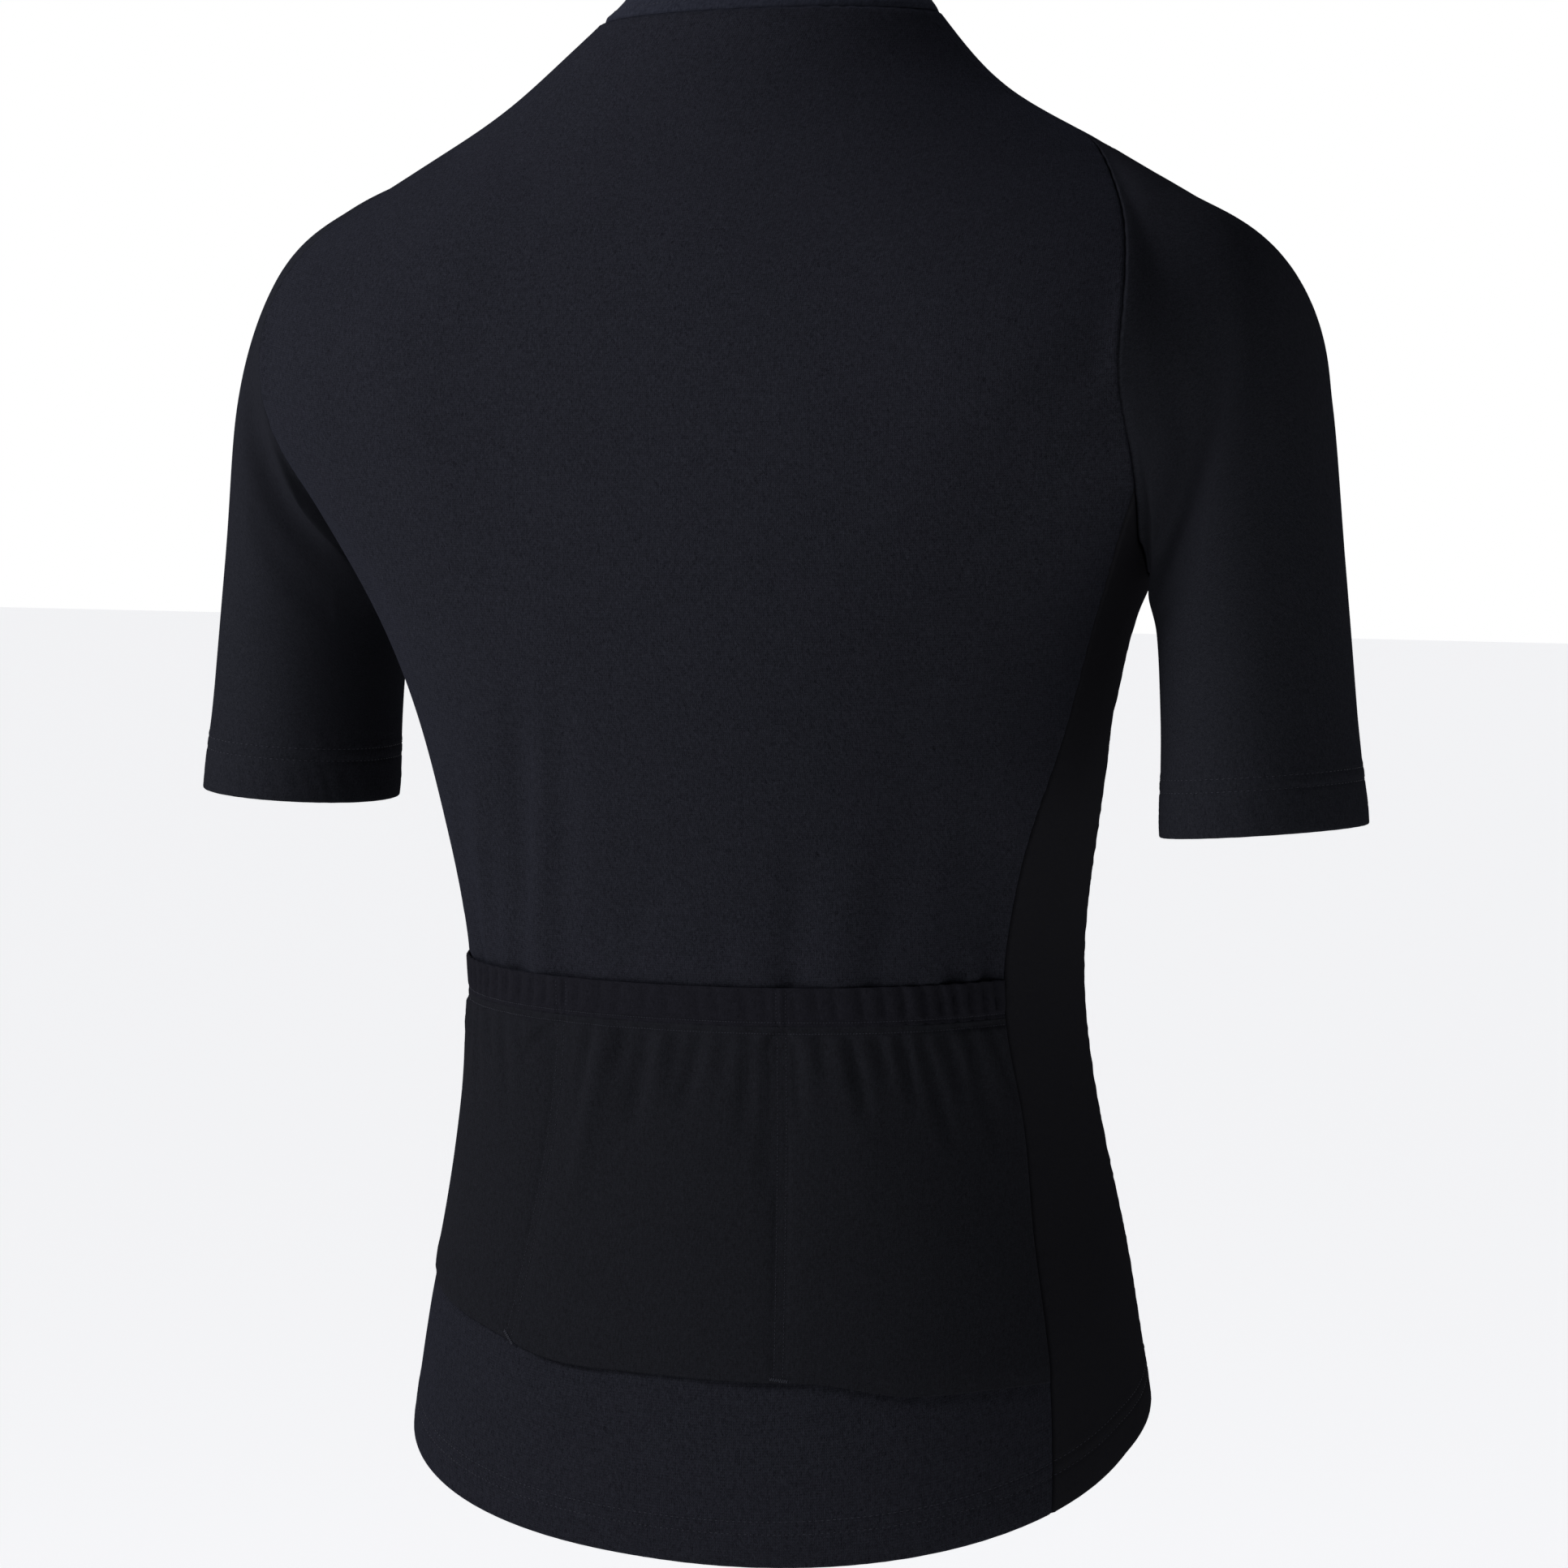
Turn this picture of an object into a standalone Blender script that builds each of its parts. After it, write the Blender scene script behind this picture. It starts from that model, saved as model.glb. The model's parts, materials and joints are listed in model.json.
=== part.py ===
"""Short-sleeved cycling jersey, filled out as if worn but empty, in metres with +Z up.

The front faces -Y and the jersey's own left side is +X.  The origin lies on the centre plane,
level with the points where the shoulder seams meet the neck.  One body form gives every panel:
a panel is the stretch of it between two seam lines, with the cloth's thickness on the inside.
"""
import math

import bpy
import bmesh
import numpy as np
from mathutils import Matrix

NAME = "cycling_jersey"

# ---- driving sizes, in metres ------------------------------------------------------------------
CLOTH = 0.0015            # wall of the body, sleeve and side panels
POCKET_CLOTH = 0.0012     # wall of the pocket panel and its gathered band
COLLAR_CLOTH = 0.0020     # the collar is doubled
SEAM_GAP = 0.0004         # clear space between two panels at a seam
COLLAR_GAP = 0.0006       # height of the collar's foot above the neck seam
POCKET_GAP = 0.0005       # clear space between the pocket panel and the back under it
BAND_WAVES = 38           # gathers round the elastic band at the pockets' mouth
BAND_SWELL = 0.0011       # height of the band's strongest gathers
RUNNING_GAP = 0.0003      # between the slider, the zip and the pull
CUT_REACH = 0.02          # how far a cut runs past the solid it goes through

ZIP_OPENING = 0.0120      # between the two front edges
ZIP_TAPE_WIDTH = 0.0240
ZIP_FLAT = 0.0088         # middle of the tape that stays flat across, behind the slider
ZIP_TAPE = 0.0010
ZIP_CHAIN_WIDTH = 0.0050
ZIP_CHAIN_RISE = 0.0002   # of the chain above the outside of the cloth beside it
ZIP_COLLAR_ROWS = (0.005, 0.011)      # heights at which the zip follows the collar's foot

SLIDER_LENGTH = 0.0100
SLIDER_WIDTH = 0.0072
SLIDER_PLATE = 0.0011
SLIDER_WEB = 0.0018       # the wedge that parts the two rows of teeth
WEB_FOOT = 0.0011         # of the wedge above the slider's middle
BITE = 0.0004             # how deep one block of the slider reaches into the next
SLIDER_HEIGHT = 0.0250    # of its middle above the collar seam
SLIDER_REACH = 0.0062     # length of straight zip either side of its middle
ARCH_SPAN = 0.0034        # clear length under the arch that holds the pull
ARCH_CLEAR = 0.0017       # clear height under it
ARCH_BAR = 0.0012
PULL_LENGTH = 0.0180      # from its crossbar to its tip
PULL_WIDTH = 0.0044
PULL_THICKNESS = 0.0010
PULL_WINDOW = 0.0042      # from its crossbar to the solid part of its tab
PULL_EDGE = 0.0003        # rounding of its edges

# ---- the body form -------------------------------------------------------------------------------
# A ring round the body at each station.  run is the distance up the back from the hem, full is
# the superellipse exponent, dip is how the ring's height turns from the side to the back and the
# front, and lean lifts the left side and drops the right for each metre out from the centre.
BODY_COLUMNS = ("run", "back_z", "side_z", "front_z", "half_width", "side_y", "back_y", "front_y",
                "full", "dip", "lean")
BODY_RINGS = {
    "hem":    (0.000, -0.6640, -0.6170, -0.5780, 0.1710, -0.017, 0.105, -0.140, 2.15, 0.9, 0.045),
    "seat":   (0.055, -0.6060, -0.5650, -0.5370, 0.1630, -0.018, 0.105, -0.139, 2.15, 1.0, 0.028),
    "loin":   (0.120, -0.5340, -0.5190, -0.4960, 0.1515, -0.022, 0.100, -0.136, 2.15, 1.1, 0.015),
    "waist":  (0.215, -0.4320, -0.4280, -0.4220, 0.1415, -0.012, 0.090, -0.126, 2.15, 1.3, 0.0),
    "ribs":   (0.295, -0.3580, -0.3560, -0.3540, 0.1510, -0.006, 0.102, -0.126, 2.15, 1.5, 0.0),
    "chest":  (0.370, -0.2920, -0.2880, -0.2880, 0.1660, 0.006, 0.118, -0.128, 2.20, 1.5, 0.0),
    "armpit": (0.415, -0.2480, -0.2440, -0.2460, 0.1860, 0.016, 0.125, -0.129, 2.30, 1.5, 0.0),
    "blade":  (0.465, -0.2020, -0.1900, -0.2040, 0.2280, 0.006, 0.127, -0.126, 2.40, 1.5, 0.0),
    "yoke":   (0.515, -0.1580, -0.1360, -0.1660, 0.2470, 0.000, 0.124, -0.118, 2.40, 1.5, 0.0),
    "cap":    (0.560, -0.1200, -0.1000, -0.1400, 0.2250, -0.005, 0.116, -0.106, 2.20, 1.5, 0.0),
    "tip":    (0.600, -0.0920, -0.0820, -0.1200, 0.1950, -0.009, 0.105, -0.096, 2.10, 1.5, 0.0),
    "slope":  (0.645, -0.0670, -0.0610, -0.1020, 0.1580, -0.015, 0.094, -0.087, 2.00, 1.5, 0.0),
    "trap":   (0.685, -0.0420, -0.0400, -0.0890, 0.1190, -0.013, 0.081, -0.079, 2.00, 1.5, 0.0),
    "nape":   (0.715, -0.0210, -0.0190, -0.0810, 0.0935, -0.016, 0.067, -0.073, 2.00, 1.5, 0.0),
    "neck":   (0.735, -0.0040, -0.0045, -0.0750, 0.0790, -0.017, 0.053, -0.068, 2.00, 1.5, -0.025),
}

# Seam lines on the body form.  Turn is the angle round the body in degrees: 0 is the middle of
# the back, 90 the side and 180 the middle of the front, the same to the left and to the right.
SIDE_BACK_SEAM = (      # run, turn
    (0.000, 69.0),
    (0.040, 72.0),
    (0.120, 72.8),
    (0.170, 73.8),
    (0.205, 71.5),
    (0.255, 72.8),
    (0.297, 76.5),
    (0.336, 83.0),
    (0.366, 86.8),
    (0.392, 88.5),
    (0.411, 87.0),
    (0.433, 79.9),
    (0.449, 74.5),
)
SIDE_FRONT_SEAM = (     # run, turn
    (0.000, 115.0),
    (0.120, 114.0),
    (0.215, 112.5),
    (0.297, 111.0),
    (0.381, 110.0),
    (0.421, 109.5),
)
SHOULDER_SEAM = (       # run, turn
    (0.646, 88.0),
    (0.685, 86.5),
    (0.712, 84.5),
    (0.725, 82.5),
    (0.735, 77.5),
)
# round is the angle round the sleeve: 0 on top of the shoulder, 90 behind, 180 under the arm
SHOULDER_TURN = 88.0
ARMHOLE = (             # round, run, turn
    (0, 0.6460, SHOULDER_TURN),
    (30, 0.6150, 77.5),
    (60, 0.5620, 64.5),
    (90, 0.5160, 57.0),
    (120, 0.4800, 61.0),
    (150, 0.4400, 80.0),
    (171, 0.4140, 99.5),
    (181, 0.4130, 103.5),
    (193, 0.4210, 109.5),
    (215, 0.4440, 117.0),
    (240, 0.4800, 124.0),
    (270, 0.5200, 127.0),
    (300, 0.5680, 121.0),
    (330, 0.6180, 105.0),
    (360, 0.6460, SHOULDER_TURN),
)
UNDERARM_BACK, UNDERARM_FRONT = 0.449, 0.421    # run where the side seams reach the armhole
UNDERARM_ROUND = (143.8, 193)                   # the same as angles round the sleeve
UNDERARM_MARGIN = 7                             # degrees either side within which they're looked up
SHOULDER_END = 0.646                            # run where the shoulder seam reaches it
NECK = 0.735
NECK_CENTRE_Y = -0.008

# ---- the sleeve ----------------------------------------------------------------------------------
# A ring round the arm at each station: its outer and its inner point, its back and front, and how
# far its sides run outward of the straight line between those points.
SLEEVE_COLUMNS = ("outer_x", "outer_z", "inner_x", "inner_z", "back_y", "front_y", "bulge")
SLEEVE_RINGS = {
    "head":   (0.1975, -0.0810, 0.1790, -0.2520, 0.0575, -0.0740, 0.0380),
    "cap":    (0.2370, -0.1045, 0.1930, -0.2580, 0.0440, -0.0750, 0.0205),
    "muscle": (0.2585, -0.1530, 0.1985, -0.2755, 0.0470, -0.0650, 0.0100),
    "arm":    (0.2715, -0.2355, 0.2010, -0.3080, 0.0460, -0.0605, 0.0030),
    "cuff":   (0.2850, -0.3500, 0.2020, -0.3560, 0.0465, -0.0530, 0.0000),
}
SLEEVE_STEPS = (3, 2, 2, 2, 2)      # rows of cloth from one ring to the next
TUCK_ANGLE = 160.0        # middle of the crease where the sleeve meets the body under the arm
TUCK_WIDTH = 58.0         # degrees either side over which it fades out
TUCK_FADE = 40.0
TUCK_RISE = 0.0030        # how far the sleeve bulges beside the crease
TUCK_LIFT = 0.15          # share of its way that goes straight out from the body there
TWIST = 12.0              # degrees by which the sleeve's rings are turned back behind the arm
TWIST_ANGLE = 120.0
TWIST_WIDTH = 30.0
BELOW_ANGLE = 155.0       # middle of the lower part of the armhole, where the sleeve leaves the
BELOW_WIDTH = 80.0        # body at a slant
BELOW_FADE = 35.0

# ---- the collar, from its seam up: its height, and how far it leans in towards the neck behind
# and in front
COLLAR_ROWS = (           # height, lean behind, lean in front
    (0.000, 0.0000, 0.0000),
    (0.009, 0.0120, 0.0040),
    (0.020, 0.0180, 0.0070),
    (0.034, 0.0200, 0.0108),
)

# ---- the pockets ---------------------------------------------------------------------------------
BAND_TOP = 0.2260         # run of the pockets' mouth, along the back
BAND_FOOT = 0.2090        # run of the seam under the gathered band
POCKET_FOOT = (           # turn, run: the line along which the pocket panel is sewn down
    (-75.0, 0.0450),
    (-55.0, 0.0560),
    (-40.0, 0.0622),
    (-30.0, 0.0690),
    (-20.0, 0.0712),
    (0.0, 0.0725),
    (18.0, 0.0720),
    (26.0, 0.0745),
    (44.0, 0.0760),
    (75.0, 0.0780),
)
DIVIDERS = {              # turn at the mouth, halfway down and at the foot
    "left": (18.9, 20.4, 25.0),
    "right": (-22.6, -22.9, -22.0),
}
# Folds that fall from the band.  place is how far across its pocket a fold starts, from the
# jersey's left, drift is how far it has moved at its end, height is how proud it stands under the
# band, and length is how far down it fades out.
POCKET_FOLDS = (          # pocket, place, drift, width, height, length
    ("left", 0.13, -0.03, 0.07, 0.0016, 0.050),
    ("left", 0.30, -0.04, 0.07, 0.0014, 0.045),
    ("left", 0.48, -0.04, 0.07, 0.0018, 0.055),
    ("left", 0.66, -0.05, 0.07, 0.0017, 0.050),
    ("left", 0.85, -0.12, 0.08, 0.0026, 0.050),
    ("centre", 0.10, -0.02, 0.06, 0.0016, 0.035),
    ("centre", 0.26, -0.05, 0.07, 0.0024, 0.080),
    ("centre", 0.48, -0.03, 0.07, 0.0020, 0.055),
    ("centre", 0.64, -0.06, 0.07, 0.0018, 0.060),
    ("centre", 0.78, -0.01, 0.06, 0.0016, 0.050),
    ("centre", 0.92, -0.05, 0.06, 0.0024, 0.045),
    ("right", 0.08, 0.05, 0.06, 0.0024, 0.045),
    ("right", 0.24, 0.09, 0.07, 0.0022, 0.085),
    ("right", 0.42, 0.03, 0.06, 0.0016, 0.040),
    ("right", 0.56, 0.06, 0.06, 0.0020, 0.060),
    ("right", 0.73, 0.05, 0.06, 0.0022, 0.050),
    ("right", 0.88, 0.06, 0.07, 0.0028, 0.075),
)
POCKET_ROWS = (0.0, 0.10, 0.28, 0.46, 0.62, 0.76, 0.87, 0.95, 1.0)   # shares of its height
COLUMN_APART = 0.035      # least distance between two columns, as a share of a pocket
FOLD_DECAY = 1.4          # above 1 a fold of the pockets loses its height soon below the band
# The band's gathers are faint in the middle of the back and strong towards the side seams.
FAINT_GATHER = 0.25       # their height in the middle, as a share
FAINT_MIDDLE = -4.0       # turn in the middle of the faint stretch
FAINT_REACH = 14.0        # degrees from there to where they start to grow
GATHER_RISE = 26.0        # and over which they grow to the full height
BAND_FULLNESS = (0.6, 1.0, 0.8)       # height of the gathers at the band's foot, middle and top

# ---- the largest soft folds of the body: both ends, half width and depth (a trough is below 0) ---
BODY_ROUND = 0.0024       # metres round the body in a degree of turn, as the folds are measured
FOLD_START = 0.15         # share of a fold's crest that lies before its first end
BODY_FOLDS = (            # turn, run, turn, run, width, height
    (36.0, 0.245, 24.0, 0.330, 0.012, -0.0022),
    (25.0, 0.240, 15.0, 0.350, 0.012, -0.0016),
    (-64.0, 0.240, -66.0, 0.300, 0.010, -0.0018),
    (-44.0, 0.238, -50.0, 0.310, 0.012, -0.0014),
    (54.0, 0.240, 44.0, 0.310, 0.010, -0.0018),
    (112.0, 0.360, 140.0, 0.300, 0.014, -0.0024),
    (-112.0, 0.360, -138.0, 0.290, 0.014, -0.0024),
    (116.0, 0.215, 150.0, 0.190, 0.014, -0.0020),
    (-118.0, 0.205, -152.0, 0.180, 0.014, -0.0020),
)
# The same on a sleeve: angle round it and share of its length, at both ends.
SLEEVE_ROUND = 0.0009     # metres round the sleeve in a degree
SLEEVE_LENGTH = 0.22
SLEEVE_FOLDS = (
    (120.0, 0.42, 78.0, 0.16, 0.010, -0.0022),
    (232.0, 0.44, 285.0, 0.18, 0.010, -0.0022),
    (150.0, 0.60, 110.0, 0.62, 0.010, -0.0014),
)

# ---- rows of cloth up the body -------------------------------------------------------------------
LOWER_ROWS = tuple(np.linspace(0.0, 0.392, 15))
ARMHOLE_ROWS = (0.414, 0.421, 0.433, 0.449, 0.470, 0.493, 0.516, 0.539, 0.562, 0.584, 0.603,
                0.620, 0.634, 0.646)
NECK_ROWS = (0.664, 0.684, 0.704, 0.721, 0.735)
BACK_COLUMNS = 22
FRONT_COLUMNS = 9
SIDE_COLUMNS = 7
SIDE_BEND = 0.392         # run above which the side panel's rows bend towards the armhole

SKINS = {                 # material name: colour, roughness, metallic
    "textured_back_knit": ("#1a1c24", 0.92, 0.0),
    "smooth_side_knit": ("#101116", 0.85, 0.0),
    "brushed_sleeve_knit": ("#17181f", 0.90, 0.0),
    "heathered_collar_knit": ("#22242d", 0.95, 0.0),
    "smooth_pocket_knit": ("#16171b", 0.88, 0.0),
    "gathered_elastic_knit": ("#17181d", 0.88, 0.0),
    "zip_tape_polyester": ("#0d0e12", 0.80, 0.0),
    "black_lacquered_zinc": ("#141416", 0.38, 0.8),
}


# ---- numbers -------------------------------------------------------------------------------------
def smooth_table(rows):
    """A natural cubic spline through rows whose first column rises; returns a function."""
    table = np.array(rows, float)
    x, y = table[:, 0], table[:, 1:]
    count = len(x)
    step = np.diff(x)
    system = np.eye(count)
    right = np.zeros_like(y)
    for i in range(1, count - 1):
        system[i, i - 1:i + 2] = step[i - 1], 2 * (step[i - 1] + step[i]), step[i]
        right[i] = 6 * ((y[i + 1] - y[i]) / step[i] - (y[i] - y[i - 1]) / step[i - 1])
    bend = np.linalg.solve(system, right)

    def value(at):
        at = np.clip(np.asarray(at, float), x[0], x[-1])
        i = np.clip(np.searchsorted(x, at, side="right") - 1, 0, count - 2)
        h = step[i]
        a, b = (x[i + 1] - at) / h, (at - x[i]) / h
        a, b, h = a[..., None], b[..., None], h[..., None]
        return (a * y[i] + b * y[i + 1]
                + ((a ** 3 - a) * bend[i] + (b ** 3 - b) * bend[i + 1]) * h * h / 6)

    return value


def unit(vectors):
    return vectors / np.maximum(np.linalg.norm(vectors, axis=-1, keepdims=True), 1e-12)


def bump(distance):
    """A soft crest: 1 at 0, falling to nothing at a distance of 2."""
    return np.where(np.abs(distance) < 2, np.cos(np.clip(distance, -2, 2) * math.pi / 4) ** 2, 0)


def fold_height(folds, across, along, across_scale, along_scale):
    """Sum of soft folds, each along a straight line between its two ends."""
    total = np.zeros(np.broadcast(across, along).shape)
    for a1, b1, a2, b2, width, height in folds:
        line = np.array([(a2 - a1) * across_scale, (b2 - b1) * along_scale])
        length = np.linalg.norm(line)
        line = line / length
        p = (across - a1) * across_scale
        q = (along - b1) * along_scale
        share = np.clip((p * line[0] + q * line[1]) / length, 0, 1)
        near_p, near_q = p - share * length * line[0], q - share * length * line[1]
        fade = np.sin(math.pi * (FOLD_START + (1 - FOLD_START) * (1 - share))) ** 0.5
        total = total + height * fade * bump(np.hypot(near_p, near_q) / width)
    return total


# ---- the body form -------------------------------------------------------------------------------
body_ring = smooth_table(list(BODY_RINGS.values()))


def body_form(turn, run):
    """Points on the outside of the cloth, without its folds."""
    turn, run = np.broadcast_arrays(np.asarray(turn, float), np.asarray(run, float))
    ring = dict(zip(BODY_COLUMNS[1:], np.moveaxis(body_ring(run), -1, 0)))
    sine, cosine = np.sin(np.radians(turn)), np.cos(np.radians(turn))
    power = 2 / ring["full"]
    to_back, to_front = np.clip(cosine, 0, None), np.clip(-cosine, 0, None)
    x = ring["half_width"] * np.sign(sine) * np.abs(sine) ** power
    y = (ring["side_y"] + (ring["back_y"] - ring["side_y"]) * to_back ** power
         + (ring["front_y"] - ring["side_y"]) * to_front ** power)
    z = (ring["side_z"] + (ring["back_z"] - ring["side_z"]) * to_back ** ring["dip"]
         + (ring["front_z"] - ring["side_z"]) * to_front ** ring["dip"] + ring["lean"] * x)
    return np.stack([x, y, z], -1)


def body_normal(turn, run):
    dt, dr = 0.5, 0.001
    low, high = np.clip(np.asarray(run) - dr, 0, NECK), np.clip(np.asarray(run) + dr, 0, NECK)
    round_body = body_form(turn + dt, run) - body_form(turn - dt, run)
    up_body = body_form(turn, high) - body_form(turn, low)
    return unit(np.cross(up_body, round_body))


def body_cloth(turn, run):
    """The outside of the body panels, with their largest folds."""
    height = fold_height(BODY_FOLDS, turn, run, BODY_ROUND, 1.0)
    return body_form(turn, run) + height[..., None] * body_normal(turn, run)


# ---- seam lines ----------------------------------------------------------------------------------
side_back = smooth_table(SIDE_BACK_SEAM)
side_front = smooth_table(SIDE_FRONT_SEAM)
shoulder = smooth_table(SHOULDER_SEAM)
armhole = smooth_table(ARMHOLE)
round_samples = np.linspace(0, 360, 1441)
armhole_run, armhole_turn = np.moveaxis(armhole(round_samples), -1, 0)
half_back = round_samples <= UNDERARM_ROUND[0]
half_front = round_samples >= UNDERARM_ROUND[1]
under_arm = ((round_samples > UNDERARM_ROUND[0] - UNDERARM_MARGIN)
             & (round_samples < UNDERARM_ROUND[1] + UNDERARM_MARGIN))


def armhole_at_run(run, behind):
    """Turn and sleeve angle where the armhole passes a height, behind or in front."""
    pick = half_back if behind else half_front
    order = np.argsort(armhole_run[pick])
    heights = armhole_run[pick][order]
    turn = np.interp(run, heights, armhole_turn[pick][order])
    return turn, np.interp(run, heights, round_samples[pick][order])


def back_edge(run):
    if run < UNDERARM_BACK:
        return float(side_back(run)[0])
    if run < SHOULDER_END:
        return float(armhole_at_run(run, True)[0])
    return float(shoulder(run)[0])


def front_edge(run):
    if run < UNDERARM_FRONT:
        return float(side_front(run)[0])
    if run < SHOULDER_END:
        return float(armhole_at_run(run, False)[0])
    return float(shoulder(run)[0])


def turn_for(distance, turn, run):
    """The turn that moves a point by a distance round the body."""
    here = body_form(turn, run)
    there = body_form(turn + 1.0, run)
    return distance / np.linalg.norm(there - here)


def turn_at_x(x, run):
    """The turn on the front where the body form is x away from the centre plane."""
    low, high = 90.0, 180.0
    for _ in range(40):
        middle = (low + high) / 2
        if body_form(middle, run)[0] > x:
            low = middle
        else:
            high = middle
    return low


# ---- making objects ------------------------------------------------------------------------------
def linear(hex_colour):
    channels = [int(hex_colour[i:i + 2], 16) / 255 for i in (1, 3, 5)]
    return [c / 12.92 if c <= 0.04045 else ((c + 0.055) / 1.055) ** 2.4 for c in channels]


def skin(name):
    colour, roughness, metallic = SKINS[name]
    material = bpy.data.materials.get(name) or bpy.data.materials.new(name)
    material.use_nodes = True
    shader = material.node_tree.nodes["Principled BSDF"]
    shader.inputs["Base Color"].default_value = (*linear(colour), 1)
    shader.inputs["Roughness"].default_value = roughness
    shader.inputs["Metallic"].default_value = metallic
    material.diffuse_color = (*linear(colour), 1)
    return material


def add_object(name, mesh, skin_name, collection):
    obj = bpy.data.objects.new(name, mesh)
    mesh.materials.clear()
    mesh.materials.append(skin(skin_name))
    collection.objects.link(obj)
    return obj


def grid_mesh(name, points, closed=False):
    """An open surface through rows that run up and columns that run right, seen from outside.

    closed joins the last column to the first.
    """
    rows, columns = points.shape[:2]
    faces = []
    for i in range(rows - 1):
        for j in range(columns if closed else columns - 1):
            k = (j + 1) % columns
            faces.append((i * columns + j, i * columns + k, (i + 1) * columns + k,
                          (i + 1) * columns + j))
    mesh = bpy.data.meshes.new(name)
    mesh.from_pydata(points.reshape(-1, 3).tolist(), [], faces)
    mesh.shade_smooth()
    return mesh


def cloth_panel(name, points, thickness, skin_name, collection, closed=False):
    panel = add_object(name, grid_mesh(name, points, closed), skin_name, collection)
    wall = panel.modifiers.new("cloth", "SOLIDIFY")
    wall.thickness = thickness
    wall.offset = -1
    wall.use_quality_normals = True
    return panel


def seam_gap(turn, run, step):
    """Clear space that a seam needs: the walls' inner edges draw together where the form bends."""
    bend = body_normal(turn + step / 2, run) - body_normal(turn - step / 2, run)
    return SEAM_GAP + CLOTH * float(np.linalg.norm(bend))


# ---- body panels ---------------------------------------------------------------------------------
def strip_points(edges, columns):
    """Rows of points between a first and a last turn at each run."""
    return np.array([body_cloth(np.linspace(first, last, columns + 1),
                                np.full(columns + 1, run)) for run, first, last in edges])


def body_rows():
    return LOWER_ROWS + ARMHOLE_ROWS + NECK_ROWS


def make_back(collection):
    edges = []
    for run in body_rows():
        edge = back_edge(run)
        gap = seam_gap(edge, run, 2 * edge / BACK_COLUMNS)
        edge -= turn_for(gap / 2, edge, run)
        edges.append((run, edge, -edge))
    cloth_panel("back", strip_points(edges, BACK_COLUMNS), CLOTH, "textured_back_knit", collection)


def make_front(side, word, collection):
    edges = []
    for run in body_rows():
        edge = front_edge(run)
        middle = turn_at_x(ZIP_OPENING / 2, run)
        gap = seam_gap(edge, run, (middle - edge) / FRONT_COLUMNS)
        edge += turn_for(gap / 2, edge, run)
        edges.append((run, middle, edge) if side > 0 else (run, -edge, -middle))
    cloth_panel("front_" + word, strip_points(edges, FRONT_COLUMNS), CLOTH, "textured_back_knit",
                collection)


def underarm_turns():
    """Turns of the side panel's upper corners and of the points between them."""
    gap = turn_for(SEAM_GAP / 2, 100.0, UNDERARM_BACK)
    return np.linspace(back_edge(UNDERARM_BACK) + gap, front_edge(UNDERARM_FRONT) - gap,
                       SIDE_COLUMNS + 1)


def underarm_runs(turns):
    return np.interp(turns, armhole_turn[under_arm], armhole_run[under_arm])


def side_row(run):
    """Turns and runs of one row of the side panel, whose top edge is the armhole."""
    rise = max(0.0, (run - SIDE_BEND) / (UNDERARM_BACK - SIDE_BEND))
    front_run = run - rise * (UNDERARM_BACK - UNDERARM_FRONT)
    if run < UNDERARM_BACK:
        first, last = back_edge(run), front_edge(front_run)
        step = (last - first) / SIDE_COLUMNS
        turns = np.linspace(first + turn_for(seam_gap(first, run, step) / 2, first, run),
                            last - turn_for(seam_gap(last, front_run, step) / 2, last, front_run),
                            SIDE_COLUMNS + 1)
    else:
        turns = underarm_turns()
    share = np.linspace(0, 1, SIDE_COLUMNS + 1)
    straight_top = UNDERARM_BACK + share * (UNDERARM_FRONT - UNDERARM_BACK)
    curve = underarm_runs(underarm_turns()) - SEAM_GAP / 2 - straight_top
    return turns, run + share * (front_run - run) + rise * curve


def make_side(side, word, collection):
    rows = []
    for run in LOWER_ROWS + tuple(row for row in ARMHOLE_ROWS if row <= UNDERARM_BACK):
        turns, runs = side_row(run)
        turns = side * turns
        if side > 0:
            turns, runs = turns[::-1], runs[::-1]
        rows.append(body_cloth(turns, runs))
    cloth_panel("side_" + word, np.array(rows), CLOTH, "smooth_side_knit", collection)


# ---- sleeves -------------------------------------------------------------------------------------
def sleeve_loop():
    """Turn, run and angle round the sleeve of each of its columns, from the shoulder backwards."""
    loop = [(SHOULDER_TURN, SHOULDER_END, 0.0)]
    for run in reversed([row for row in ARMHOLE_ROWS[:-1] if row >= UNDERARM_BACK]):
        turn, angle = armhole_at_run(run, True)
        loop.append((turn, run, angle))
    for turn in underarm_turns()[1:-1]:
        angle = np.interp(turn, armhole_turn[under_arm], round_samples[under_arm])
        loop.append((turn, float(underarm_runs(turn)), angle))
    for run in ARMHOLE_ROWS[1:-1]:
        turn, angle = armhole_at_run(run, False)
        loop.append((turn, run, angle))
    return np.array(loop, float)


def sleeve_ring(values, angle):
    ring = dict(zip(SLEEVE_COLUMNS, values))
    outer = np.array([ring["outer_x"], 0, ring["outer_z"]])
    inner = np.array([ring["inner_x"], 0, ring["inner_z"]])
    across = (outer - inner) / 2
    out_of_ring = unit(np.array([-across[2], 0, across[0]]))
    if out_of_ring[0] < 0:
        out_of_ring = -out_of_ring
    sine, cosine = np.sin(np.radians(angle))[:, None], np.cos(np.radians(angle))[:, None]
    depth = np.where(sine > 0, ring["back_y"], -ring["front_y"])
    points = (outer + inner) / 2 + across * cosine + depth * sine * np.array([0, 1, 0])
    return points + ring["bulge"] * sine ** 2 * out_of_ring


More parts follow.
